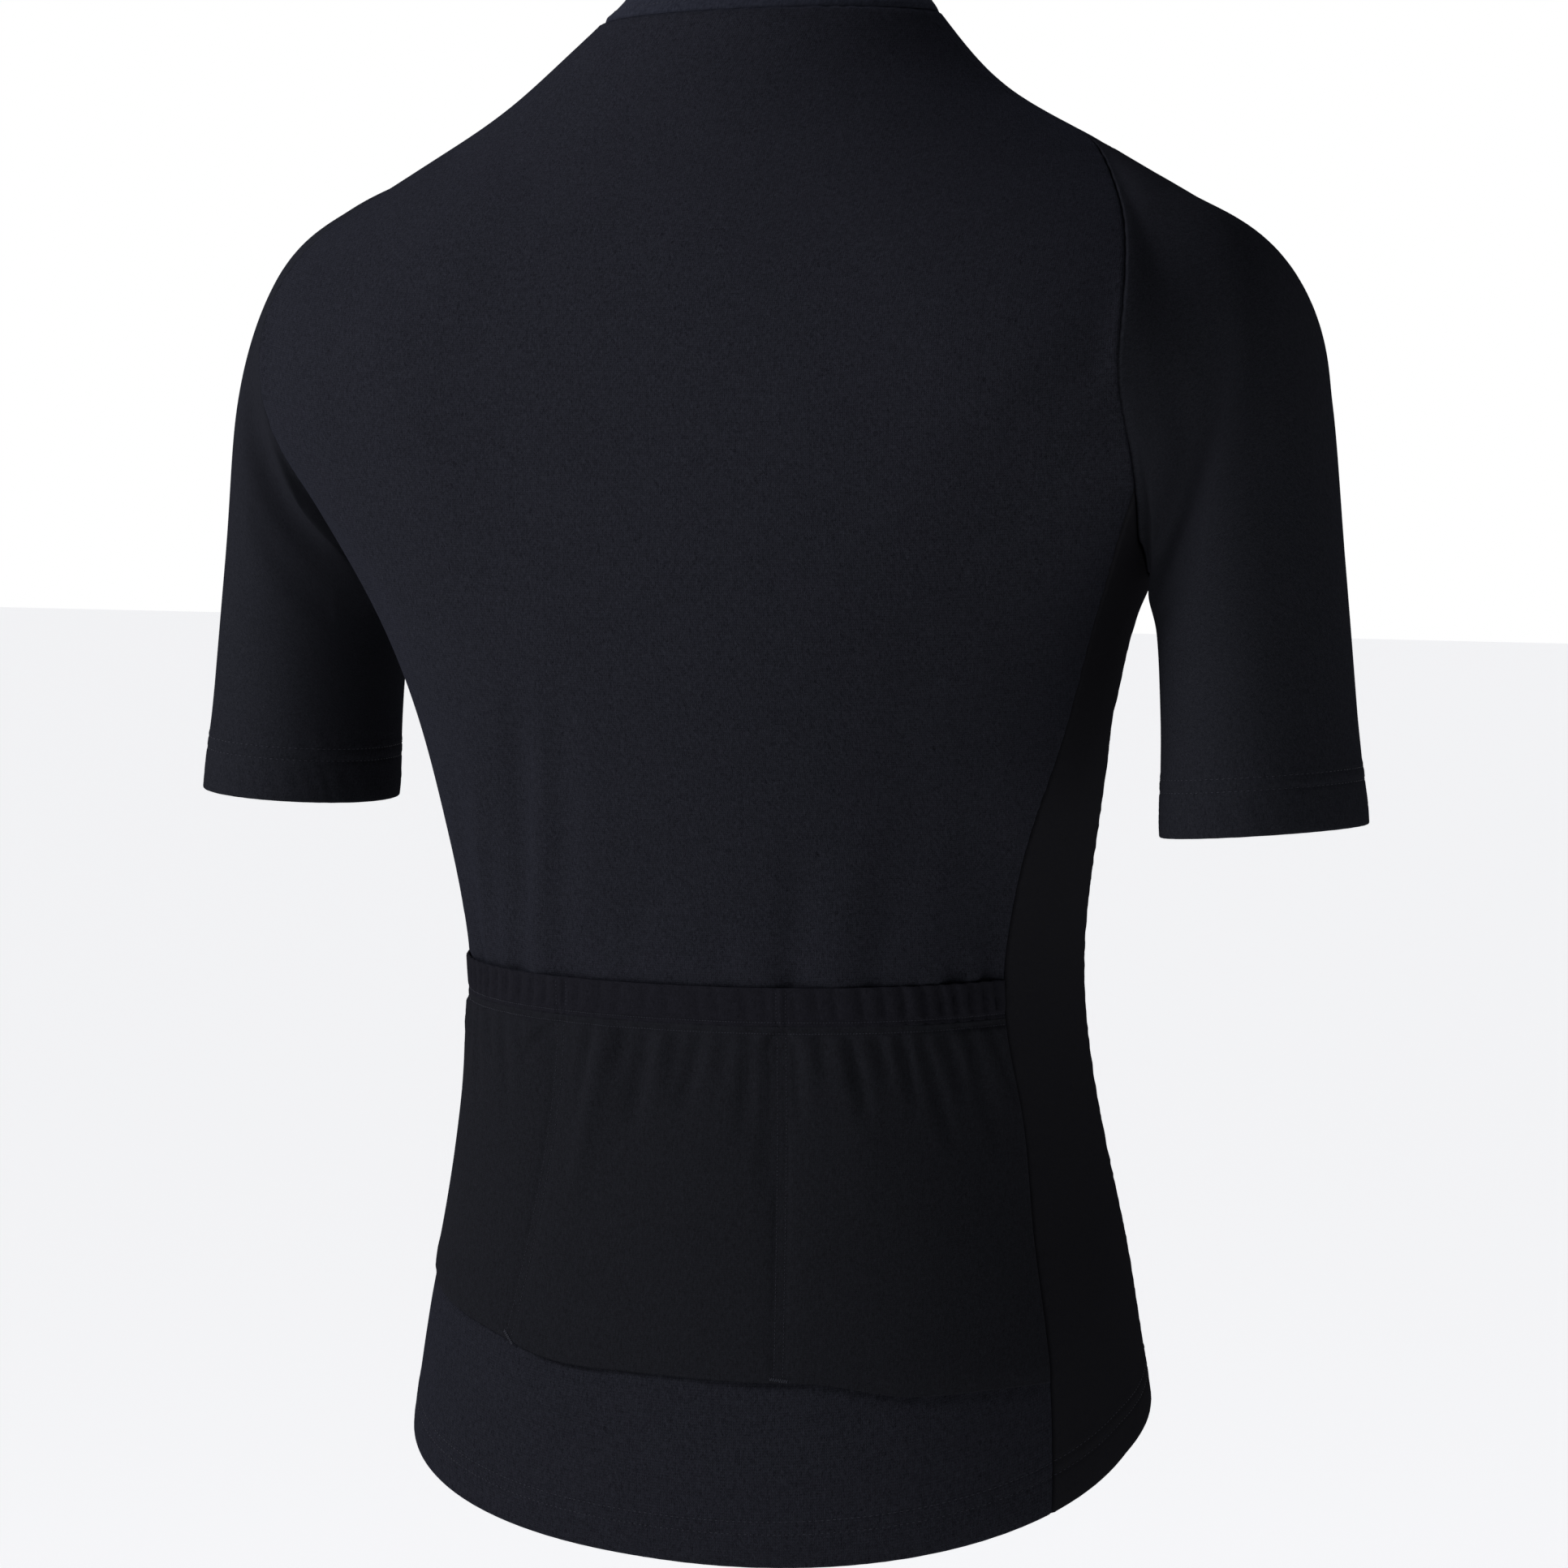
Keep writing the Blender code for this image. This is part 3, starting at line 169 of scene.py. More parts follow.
POCKET_FOLDS = {          # place across the pocket, drift, width, height, length
    "left": (
        (0.13, -0.03, 0.07, 0.0016, 0.05), (0.3, -0.04, 0.07, 0.0014, 0.045),
        (0.48, -0.04, 0.07, 0.0018, 0.055), (0.66, -0.05, 0.07, 0.0017, 0.05),
        (0.85, -0.12, 0.08, 0.0026, 0.05)),
    "centre": (
        (0.1, -0.02, 0.06, 0.0016, 0.035), (0.26, -0.05, 0.07, 0.0024, 0.08),
        (0.48, -0.03, 0.07, 0.002, 0.055), (0.64, -0.06, 0.07, 0.0018, 0.06),
        (0.78, -0.01, 0.06, 0.0016, 0.05), (0.92, -0.05, 0.06, 0.0024, 0.045)),
    "right": (
        (0.08, 0.05, 0.06, 0.0024, 0.045), (0.24, 0.09, 0.07, 0.0022, 0.085),
        (0.42, 0.03, 0.06, 0.0016, 0.04), (0.56, 0.06, 0.06, 0.002, 0.06),
        (0.73, 0.05, 0.06, 0.0022, 0.05), (0.88, 0.06, 0.07, 0.0028, 0.075)),
}
# Each row of a table of creases is a path of (turn, run), as many points as it needs, then half
# width and height.  Runs, widths and heights are in millimetres, and a height below 0 is a trough.
POCKET_CREASES = (
    (66, 203, 64, 185, 2.8, -0.9), (60.5, 203, 57.5, 168, 3, -1), (54.5, 203, 52.5, 180, 2.6, -1),
    (48.5, 203, 44.5, 165, 3, -1.2), (42, 203, 38.5, 180, 2.4, -1), (36, 203, 31, 158, 3, -1.3),
    (29.5, 203, 27, 180, 2.4, -1), (15.9, 203, 16.8, 176, 2.2, -1.3), (12, 203, 14.2, 172, 2.6, -2),
    (8.2, 203, 9.6, 185, 13.4, 130, 3.6, 1.8), (4.6, 203, 5.8, 184, 2.2, -1.1),
    (0.8, 203, 3.2, 160, 2.8, -2.4), (-1.6, 202, -0.4, 168, 2.6, 0.9),
    (-4, 203, -3.4, 180, 2.2, -1.1), (-7.8, 203, -5, 168, 2.6, -2),
    (-12.8, 203, -12.2, 182, 2.4, -1.3), (-17, 203, -16.2, 160, 2.8, -1.9),
    (-20.2, 200, -20.4, 140, 2.2, -1.6), (-25.4, 200, -26.2, 168, 2.2, -1.4),
    (-29.8, 203, -31.4, 184, 2.2, -1), (-35.5, 203, -39, 168, 2.5, -2.1),
    (-41, 203, -43.2, 182, 2, -1.5), (-45.6, 203, -48.6, 174, 2, -1.8),
    (-50, 203, -55.5, 156, 2.4, -2.1), (-55.4, 203, -58.8, 176, 2, -1.8),
    (-60.5, 204, -62, 191, -65.5, 155, 2.3, -3), (-66.2, 204, -72, 174, 2.2, -2.7),
    (27.2, 191, 23.2, 200, 19.5, 203.5, 15.2, 202.5, 1.7, -1.7),
    (-18.8, 197, -20.6, 203.5, -22.8, 205, -24.6, 203, -25.6, 196, 1.5, -1.5),
)
BAND_VALLEYS = (          # turns of the sharp valleys between the band's gathers
    72.5, 70.0, 67.3, 64.6, 61.4, 58.6, 55.2, 51.4, 47.4, 43.8, 39.6, 35.3, 30.8, 26.9, 23.3, 18.6,
    15.2, 10.4, 6.6, 1.7, -2.6, -7.9, -11.3, -16.6, -20.4, -25.3, -29.6, -33.2, -38.3, -42.7, -46.8,
    -51.0, -54.9, -58.2, -62.0, -65.8, -68.9, -72.5)

FOLD_WAVE = (0.0, 0.85)   # stretch of a half wave along which a fold deepens and fades
BODY_ROUND = 0.0024       # cloth for one degree of turn, over the whole body
BODY_FOLDS = (
    (36, 245, 24, 330, 12, -2.2), (25, 240, 15, 350, 12, -1.6), (-64, 240, -66, 300, 10, -1.8),
    (-44, 238, -50, 310, 12, -1.4), (54, 240, 44, 310, 10, -1.8), (112, 360, 140, 300, 14, -2.4),
    (-112, 360, -138, 290, 14, -2.4), (116, 215, 150, 190, 14, -2), (-118, 205, -152, 180, 14, -2),
)
BACK_DIPS = (             # turn above the band, length and half width of the dip, depth
    (33.0, 0.016, 0.0040, -0.0012), (15.0, 0.020, 0.0040, -0.0012), (-24.5, 0.018, 0.0036, -0.0014),
    (-3.5, 0.010, 0.0035, -0.0005), (-40.0, 0.011, 0.0036, -0.0007),
    (-58.0, 0.016, 0.0036, -0.0012), (-66.6, 0.028, 0.0036, -0.0018),
    (48.0, 0.018, 0.0036, -0.0010), (62.0, 0.022, 0.0036, -0.0014),
)
BACK_CREASES = (
    (32, 226, 24.5, 300, 16, 385, 7, -1.8), (25.8, 228, 19.5, 300, 12, 385, 6, 1.3),
    (19.4, 226, 13.5, 300, 8, 384, 6.5, -1.6), (41, 228, 35, 300, 7, -1.4),
    (50, 228, 47, 270, 6, -1.2), (3.5, 228, 1, 275, 6, -0.8), (-12, 228, -11, 262, 6, -0.8),
    (-24, 228, -27.5, 300, 6.5, -1.4), (-33, 230, -38, 310, 8, 1.2),
    (-40.5, 228, -45, 295, 6, -1.2), (-57.5, 228, -60.5, 325, 6, -2.1),
    (-51, 240, -56.5, 380, -53, 450, 12, 1.8), (-67, 229, -69.5, 300, 4.8, -1.9),
    (-65, 310, -67, 372, 8, 1.4), (27, 610, 21, 415, 14, 1.8), (12, 560, 9, 400, 15, -1.2),
    (-20, 600, -26, 420, 16, -1.3), (57, 520, 38, 440, 13, -1.6), (-58, 525, -40, 455, 13, -1.8),
    (-66, 450, -48, 400, 11, -1.4), (64, 440, 47, 385, 11, -1.4),
)
SLEEVE_FOLDS = (          # the same, with the angle round the sleeve and thousandths of its length
    (120, 420, 78, 160, 10, -0.9), (232, 440, 285, 180, 10, -1.6), (150, 600, 110, 620, 10, -1),
)
ZIP_HALF_OPENING, ZIP_HALF_TAPE, ZIP_TAPE = 0.0060, 0.0120, 0.0006
ZIP_ROW = 0.0027          # from a front's edge to the row that sews it to the tape
TAPE_RIB = ((0.0006, 0.0), (0.0010, 0.0006), (0.0016, 0.0006), (0.0022, 0.0), (0.0034, 0.0),
            (0.0044, 0.0))            # from the middle, rise: the rib that carries the teeth
TOOTH_PITCH = 0.0022
SLIDER_HEIGHT, SLIDER_REACH = 0.0250, 0.0062


# ---- numbers
def smooth_table(rows):
    """A natural cubic spline through rows whose first column rises; returns a function."""
    table = np.array(rows, float)
    x, y = table[:, 0], table[:, 1:]
    count, step = len(x), np.diff(x)
    system, right = np.eye(count), np.zeros_like(y)
    for i in range(1, count - 1):
        system[i, i - 1:i + 2] = step[i - 1], 2 * (step[i - 1] + step[i]), step[i]
        right[i] = 6 * ((y[i + 1] - y[i]) / step[i] - (y[i] - y[i - 1]) / step[i - 1])
    bend = np.linalg.solve(system, right)

    def value(at):
        at = np.clip(np.asarray(at, float), x[0], x[-1])
        i = np.clip(np.searchsorted(x, at, side="right") - 1, 0, count - 2)
        h = step[i]
        a, b = ((x[i + 1] - at) / h)[..., None], ((at - x[i]) / h)[..., None]
        h = h[..., None]
        return (a * y[i] + b * y[i + 1]
                + ((a ** 3 - a) * bend[i] + (b ** 3 - b) * bend[i + 1]) * h * h / 6)

    return value


def unit(vectors):
    return vectors / np.maximum(np.linalg.norm(vectors, axis=-1, keepdims=True), 1e-12)


def length_along(points):
    """Distance of each point from the first, along the line through all of them."""
    steps = np.linalg.norm(np.diff(points, axis=0), axis=1)
    return np.concatenate([[0], np.cumsum(steps)])


def values_at(at, length, rows):
    """The rows' values at some lengths along them."""
    return np.stack([np.interp(at, length, column) for column in rows.T], -1)


def bump(distance):
    """A soft crest: 1 at 0, falling to nothing at a distance of 2."""
    return np.where(np.abs(distance) < 2, np.cos(np.clip(distance, -2, 2) * math.pi / 4) ** 2, 0)


def ease(value):
    value = np.clip(value, 0, 1)
    return value * value * (3 - 2 * value)


def press(distance, depth, width):
    """A soft groove or ridge: depth at its middle, fading over the width."""
    return depth * np.exp(-(distance / width) ** 2)


def crease_height(creases, across, along, scale=(BODY_ROUND, 1.0), wave=(0.25, 1.0), power=1.0):
    """Sum of soft creases along bent paths, each as deep as a stretch of a half wave."""
    total = np.zeros(np.broadcast(across, along).shape)
    for *path, width, height in creases:
        path = np.reshape(path, (-1, 2)) / (1, 1000) * scale
        lengths = np.linalg.norm(np.diff(path, axis=0), axis=1)
        whole, gone, nearest, share = lengths.sum(), 0.0, np.full(total.shape, 1.0), 0.0
        for start, end, length in zip(path, path[1:], lengths):
            way = (end - start) / length
            p, q = across * scale[0] - start[0], along * scale[1] - start[1]
            passed = np.clip(p * way[0] + q * way[1], 0, length)
            near = np.hypot(p - passed * way[0], q - passed * way[1])
            share = np.where(near < nearest, (gone + passed) / whole, share)
            nearest = np.minimum(near, nearest)
            gone += length
        strength = np.sin(math.pi * (wave[0] + (wave[1] - wave[0]) * share)) ** power
        total += height * strength * bump(nearest / width * 1000) / 1000
    return total


# ---- the body form and its seam lines
body_ring = smooth_table(BODY_RINGS)
side_back, side_front = smooth_table(SIDE_BACK_SEAM), smooth_table(SIDE_FRONT_SEAM)
shoulder, armhole = smooth_table(SHOULDER_SEAM), smooth_table(ARMHOLE)
collar_row, pocket_foot = smooth_table(COLLAR_ROWS), smooth_table(POCKET_FOOT)
round_samples = np.linspace(0, 360, 1441)
armhole_run, armhole_turn = np.moveaxis(armhole(round_samples), -1, 0)
half_back, half_front = (round_samples <= UNDERARM_ROUND[0], round_samples >= UNDERARM_ROUND[1])
under_arm = (round_samples > UNDERARM_ROUND[0] - 7) & (round_samples < UNDERARM_ROUND[1] + 7)


def body_form(turn, run):
    """Points on the outside of the cloth, without its folds."""
    turn, run = np.broadcast_arrays(np.asarray(turn, float), np.asarray(run, float))
    ring = dict(zip(BODY_COLUMNS, np.moveaxis(body_ring(run), -1, 0)))
    sine, cosine = np.sin(np.radians(turn)), np.cos(np.radians(turn))
    power = 2 / ring["full"]
    to_back, to_front = np.clip(cosine, 0, None), np.clip(-cosine, 0, None)
    x = ring["half_width"] * np.sign(sine) * np.abs(sine) ** power
    y = (ring["side_y"] + (ring["back_y"] - ring["side_y"]) * to_back ** power
         + (ring["front_y"] - ring["side_y"]) * to_front ** power)
    z = (ring["side_z"] + (ring["back_z"] - ring["side_z"]) * to_back ** ring["dip"]
         + (ring["front_z"] - ring["side_z"]) * to_front ** ring["dip"] + ring["lean"] * x)
    return np.stack([x, y, z], -1)


def body_normal(turn, run):
    low, high = np.clip(np.asarray(run) - 0.001, 0, NECK), np.clip(np.asarray(run) + 0.001, 0, NECK)
    round_body = body_form(turn + 0.5, run) - body_form(turn - 0.5, run)
    return unit(np.cross(body_form(turn, high) - body_form(turn, low), round_body))


def body_cloth(turn, run):
    height = crease_height(BODY_FOLDS, turn, run, wave=FOLD_WAVE, power=0.5)
    return body_form(turn, run) + height[..., None] * body_normal(turn, run)


def armhole_at_run(run, behind):
    pick = half_back if behind else half_front
    order = np.argsort(armhole_run[pick])
    return np.interp(run, armhole_run[pick][order], armhole_turn[pick][order])


def seam_turn(run, behind):
    """The turn of a panel's outer edge: side seam, then armhole, then shoulder seam."""
    side, under = (side_back, UNDERARM_BACK) if behind else (side_front, UNDERARM_FRONT)
    return np.where(run < under, side(run)[..., 0],
                    np.where(run < SHOULDER_END, armhole_at_run(run, behind),
                             shoulder(run)[..., 0]))


def turn_at_x(x, run):
    """The turn on the front where the body form is x away from the centre plane."""
    turns = np.linspace(150.0, 180.0, 241)
    return np.array([np.interp(-x, -body_form(turns, r)[:, 0], turns) for r in np.atleast_1d(run)])


# ---- grids of cloth
def respace(lines, head, count, tail):
    """Puts new points along each line: at fixed distances from its two ends, and count between.

    A point is x, y, z and any further values.  Gives the points and their distances to both ends.
    """
    out, near, far = [], [], []
    for line in lines:
        length = length_along(line[:, :3])
        whole = length[-1]
        at = np.concatenate([head, np.linspace(head[-1], whole - tail[-1], count + 2)[1:-1],
                             whole - np.array(tail)[::-1]])
        out.append(values_at(at, length, line))
        near.append(at)
        far.append(whole - at)
    return np.array(out), np.array(near), np.array(far)


def normals_of(points, closed=False):
    """Outward normals of a grid whose rows run up and whose columns run right."""
    up = np.gradient(points, axis=0)
    right = np.gradient(points, axis=1)
    if closed:
        right = np.roll(points, -1, 1) - np.roll(points, 1, 1)
    return unit(np.cross(right, up))


def arc(centre, radius, normal, way, angles):
    """Points round a fold: at angle 0 along the normal, at a right angle along the way."""
    return [centre + radius * (normal * math.cos(a) + way * math.sin(a)) for a in angles]


def turned_up(points, normals, rows, radius):
    """Adds the cloth that is folded up behind a hem, whose edge is the grid's first row."""
    down = unit(points[0] - points[1])
    centre = points[0] - radius * (normals[0] + down)
    fold = arc(centre, radius, normals[0], down, np.linspace(math.pi, 0, HEM_FOLD_ROWS))
    behind = [points[i] - 2 * radius * normals[i] for i in range(rows, 1, -1)]
    return np.concatenate([behind, fold, points[2:]])


def up_rows(*fixed, top, step=STEP):
    """Heights of the rows from 0 to a top, with some of them fixed and finer rows beside those."""
    rows = list(np.linspace(0, top, int(round(top / step)) + 1))
    for height in fixed:
        rows = [r for r in rows if abs(r - height) > 0.0021 or r in (0, top)]
        rows += [height + d for d in (-0.0014, -0.0007, 0.0, 0.0007, 0.0014)]
    return np.array(sorted(rows))


def seam_roll(distance):
    return -press(distance, SEAM_ROLL, SEAM_SOFT)


def shoulder_share(run):
    """The shoulder seams lie flatter than the others."""
    return 1 - 0.85 * ease((run - SHOULDER_END + 0.004) / 0.008)


def groove(kind, distance):
    return -press(distance, *GROOVES[kind])


def pucker(kind, distance, along, phase=0.0):
    """Small uneven ripples that a row of sewing draws into the cloth beside it."""
    pitch, reach, height = PUCKERS[kind]
    wander = 0.9 * np.sin(along * 71.0 + phase) + 0.5 * np.sin(along * 173.0 + 2 * phase)
    ripple = np.sin(2 * math.pi * along / pitch + wander * 2.4) * (
        0.75 + 0.25 * np.sin(along * 119.0 + phase))
    return height * ripple * np.exp(-np.abs(distance) / reach)


def inside_of(distance, width=0.005):
    """0 at a seam and 1 inside of it, so that the panels on both sides of the seam meet."""
    return 1 - press(distance, 1.0, width)


def seam_pucker(kind, distance, along, phase):
    return pucker(kind, distance, along, phase) * inside_of(distance, SEAM_SOFT)


def hem_relief(height, around, rows, turn, inner=1.0):
    """The pressed lines of a twin-needle hem, its doubled cloth, and the ripples they draw."""
    relief = 0.0010 * (1 - ease(height / 0.050)) - 0.0004 * ease((height - turn + 0.0005) / 0.0018)
    for row in rows:
        relief += groove("hem_row", height - row)
    slanted = around + 0.45 * height
    ripples = pucker("hem_low", height - rows[0] * 0.45, slanted) * ease(height / 0.004)
    ripples += pucker("hem_high", height - rows[1], slanted, 1.3) * (height > rows[1])
    return relief + inner * ripples


# ---- meshes
def placed(name, data):
    """A new object in the scene."""
    thing = bpy.data.objects.new(name, data)
    bpy.context.scene.collection.objects.link(thing)
    return thing


def quads(rows, columns, closed):
    row = np.arange(rows - 1)[:, None] * columns
    left = np.arange(columns if closed else columns - 1)[None, :]
    right = (left + 1) % columns
    above = row + columns
    return np.stack([row + left, row + right, above + right, above + left], -1).reshape(-1, 4)


def grid_piece(name, points, pattern, finish, wall, closed=False):
    """A wall of cloth.  pattern is where each point lies on the flat cloth, in metres."""
    rows, columns = points.shape[:2]
    mesh = bpy.data.meshes.new(name)
    mesh.from_pydata(points.reshape(-1, 3).tolist(), [], quads(rows, columns, closed).tolist())
    corners = quads(rows, pattern.shape[1], False).reshape(-1)
    uv = pattern.reshape(-1, 2)[corners].reshape(-1).astype(np.float32)
    mesh.uv_layers.new(name="cloth").data.foreach_set("uv", uv)
    mesh.shade_smooth()
    mesh.materials.append(finish)
    piece = placed(name, mesh)
    if wall:
        thick = piece.modifiers.new("cloth", "SOLIDIFY")
        thick.thickness, thick.offset, thick.use_quality_normals = wall, -1, True
    return piece


def flat_pattern(across, up):
    return np.stack(np.broadcast_arrays(across, up), -1).astype(float)


def mesh_of(thing):
    """A new mesh of an object as it looks, with its modifiers made part of it."""
    graph = bpy.context.evaluated_depsgraph_get()
    return bpy.data.meshes.new_from_object(thing.evaluated_get(graph))


# ---- materials
def linear(hex_colour):
    channels = [int(hex_colour[i:i + 2], 16) / 255 for i in (1, 3, 5)]
    return [c / 12.92 if c <= 0.04045 else ((c + 0.055) / 1.055) ** 2.4 for c in channels] + [1.0]


def add(tree, kind, inputs=None, **settings):
    """Adds a node; an input is a value or another node's output, which is then linked."""
    node = tree.nodes.new(kind)
    for name, value in settings.items():
        setattr(node, name, value)
    for name, value in (inputs or {}).items():
        if isinstance(value, bpy.types.NodeSocket):
            tree.links.new(value, node.inputs[name])
        else:
            node.inputs[name].default_value = value
    return node


def finish(name, **sockets):
    """A material with a Principled shader whose plain values are set on its own sockets."""
    material = bpy.data.materials.new(name)
    material.use_nodes = True
    shader = material.node_tree.nodes["Principled BSDF"]
    for socket, value in sockets.items():
        shader.inputs[socket.replace("_", " ")].default_value = value
    return material, material.node_tree, shader


def knit(name, dark, light, wale, course, contrast, stitch_share, fibre, roughness, sheen,
         sheen_colour, depth):
    """Cloth of looped yarn.

    wale and course are the width and height of a stitch as drawn, in millimetres, contrast is how
    much one stitch differs from the next, stitch_share how clearly the loops show, fibre how much
    loose fibre breaks them up, and depth the relief in millimetres.
    """
    material, tree, shader = finish(name, Roughness=roughness, Sheen_Weight=sheen,
                                    Sheen_Roughness=0.42, Sheen_Tint=linear(sheen_colour),
                                    Specular_IOR_Level=0.0)
    place = add(tree, "ShaderNodeTexCoord").outputs["UV"]
    stitch = add(tree, "ShaderNodeMapping", {"Vector": place,
                                             "Scale": (1000 / wale, 1000 / course, 1)})
    cell = add(tree, "ShaderNodeSeparateXYZ", {0: stitch.outputs[0]})
    values = {"across": cell.outputs[0], "up": cell.outputs[1]}
    for label, operation, *inputs in (
            ("fraction", "FRACT", "across"), ("column", "FLOOR", "across"),
            ("off", "SUBTRACT", "fraction", 0.5), ("arm", "ABSOLUTE", "off"),
            ("lifted", "ADD", "up", "arm"), ("row", "FLOOR", "lifted"),
            ("wave", "MULTIPLY", "lifted", 2 * math.pi), ("loop", "SINE", "wave"),
            ("ridge", "MULTIPLY_ADD", "arm", -3.0, "loop")):
        given = {i: values.get(value, value) for i, value in enumerate(inputs)}
        values[label] = add(tree, "ShaderNodeMath", given, operation=operation).outputs[0]
    ridge = values["ridge"]
    which = add(tree, "ShaderNodeCombineXYZ", {0: values["column"], 1: values["row"]})
    chance = add(tree, "ShaderNodeTexWhiteNoise", {"Vector": which.outputs[0]},
                 noise_dimensions="2D")
    fuzz = add(tree, "ShaderNodeTexNoise", {"Vector": place, "Scale": 1500.0, "Detail": 3.0,
                                            "Roughness": 0.7})
    yarn = add(tree, "ShaderNodeMapping", {"Vector": place, "Scale": (1.0, 0.45, 1.0),
                                           "Rotation": (0, 0, 0.30)})
    strokes = add(tree, "ShaderNodeTexNoise", {"Vector": yarn.outputs[0], "Scale": 1150.0,
                                               "Detail": 2.0, "Distortion": 1.5})
    mottle = add(tree, "ShaderNodeTexNoise", {"Vector": place, "Scale": 30.0, "Detail": 2.0})
    parts = ((chance.outputs[0], contrast, 0.5), (ridge, 0.16 * stitch_share, -0.75),
             (fuzz.outputs[0], fibre, 0.5), (strokes.outputs[0], 1.5 * fibre, 0.5),
             (mottle.outputs[0], 0.08, 0.5))
    tone = 0.5 - sum(share * middle for _, share, middle in parts)
    for source, share, _ in parts:
        tone = add(tree, "ShaderNodeMath", {0: source, 1: share, 2: tone},
                   operation="MULTIPLY_ADD", use_clamp=source == parts[-1][0]).outputs[0]
    colour = add(tree, "ShaderNodeMix", {0: tone, 6: linear(dark), 7: linear(light)},
                 data_type="RGBA")
    relief = add(tree, "ShaderNodeMath", {0: ridge, 1: 0.5 * stitch_share, 2: fuzz.outputs[0]},
                 operation="MULTIPLY_ADD")
    raised = add(tree, "ShaderNodeBump", {"Strength": 0.7, "Distance": depth / 1000,
                                          "Height": relief.outputs[0]})
    tree.links.new(colour.outputs[2], shader.inputs["Base Color"])
    tree.links.new(raised.outputs[0], shader.inputs["Normal"])
    return material


# Polyester and elastane warp knit with a broken, bird's-eye face: the yarns lie in short strokes,
# so the eye sees a fine light and dark speckle in the navy.  The stitch is about 0.5 mm on the real
# cloth and drawn 0.95 mm wide, because it would be too fine to show.
BACK_KNIT = knit("birdseye_polyester_knit", "#0d0d10", "#28292f", 0.95, 1.05, 0.12, 0.50, 0.80,
                 0.90, 0.020, "#aab4d6", 0.16)
# Flat tricot of fine filament yarn: smooth, dark and nearly featureless, drawn at 0.8 mm.
SIDE_KNIT = knit("flat_tricot_knit", "#131315", "#1f1f22", 0.80, 0.90, 0.10, 0.30, 0.30, 0.90,
                 0.0, "#9a9cb0", 0.06)
# Single jersey of fine spun yarn, lightly brushed: an even, soft face with a little nap, warmer
# than the back.  Drawn at 0.8 mm.
SLEEVE_KNIT = knit("brushed_single_jersey", "#101114", "#27282d", 0.80, 0.80, 0.12, 0.30, 0.70,
                   0.92, 0.006, "#b4b4c4", 0.09)
# Close filament jersey of the pockets: smoother and more neutral than the back, a faint grain.
POCKET_KNIT = knit("close_filament_jersey", "#111113", "#202125", 0.80, 0.85, 0.14, 0.35, 0.75,
                   0.88, 0.020, "#acaab8", 0.08)
# The same jersey gathered on elastic: its loops are drawn together, so the grain is denser.
BAND_KNIT = knit("gathered_elastic_jersey", "#101013", "#1f1f24", 0.70, 0.85, 0.16, 0.40, 0.75,
                 0.88, 0.020, "#acaab8", 0.10)
# Doubled melange knit of the collar, with a short nap that lightens its edge.
COLLAR_KNIT = knit("melange_doubled_knit", "#121319", "#2c2e36", 0.85, 0.95, 0.25, 0.30, 0.70,
                   0.95, 0.060, "#b8bcd4", 0.14)
# Woven polyester tape of the zip: a flat close rib along its length.
TAPE_WEAVE = knit("woven_polyester_tape", "#0c0c10", "#17171b", 0.60, 0.50, 0.06, 0.70, 0.10,
                  0.80, 0.010, "#8c8c98", 0.10)


def speckled(name, dark, light, grain, rough_low, rough_high, **sockets):
    """A rigid finish whose colour and gloss vary a little, over a grain size in millimetres."""
    material, tree, shader = finish(name, **sockets)
    place = add(tree, "ShaderNodeTexCoord").outputs["Object"]
    noise = add(tree, "ShaderNodeTexNoise", {"Vector": place, "Scale": 1000 / grain, "Detail": 3.0})
    colour = add(tree, "ShaderNodeMix", {0: noise.outputs[0], 6: linear(dark), 7: linear(light)},
                 data_type="RGBA")
    gloss = add(tree, "ShaderNodeMapRange", {0: noise.outputs[0], 3: rough_low, 4: rough_high})
    raised = add(tree, "ShaderNodeBump", {"Strength": 0.25, "Distance": 0.00003,
                                          "Height": noise.outputs[0]})
    tree.links.new(colour.outputs[2], shader.inputs["Base Color"])
    tree.links.new(gloss.outputs[0], shader.inputs["Roughness"])
    tree.links.new(raised.outputs[0], shader.inputs["Normal"])
    return material


# Spun polyester sewing thread, a shade lighter than the cloth, so each stitch is a small light dot.
THREAD_FINISH = speckled("spun_polyester_thread", "#1b1c22", "#2b2c35", 0.25, 0.60, 0.78,
                         Sheen_Weight=0.05, Specular_IOR_Level=0.15)
# Injection-moulded acetal teeth: dark with a soft highlight.
TOOTH_FINISH = speckled("moulded_acetal", "#101014", "#1b1b20", 1.5, 0.34, 0.46)
# Die-cast zinc with black lacquer, as a slider and its pull have: satin, a little uneven.
LACQUER = speckled("black_lacquered_zinc_casting", "#0e0e10", "#1c1c1f", 1.2, 0.28, 0.44,
                   Metallic=0.7, Coat_Weight=0.35, Coat_Roughness=0.22)


def keep(piece, node, body="garment"):
    """Ties a finished piece to its body and hides the solid it stands for."""
    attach(piece, body)
    if node:
        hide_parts(node)


# ---- body panels
def cloth_line(turns, runs, surface=body_cloth):
    """A line on the cloth: its points, each with its turn and run."""
    runs = np.broadcast_to(runs, turns.shape)
    return np.column_stack([surface(turns, runs), turns, runs])


def body_strip(runs, first, last, middle):
    """Points, turns, runs and distances to both edges of the stretch between two seam lines."""
    lines = [cloth_line(np.linspace(a, b, 161), r) for r, a, b in zip(runs, first, last)]
    grid, near, far = respace(lines, EDGE_STEPS, middle, EDGE_STEPS)
    return square_off(grid, near, far)


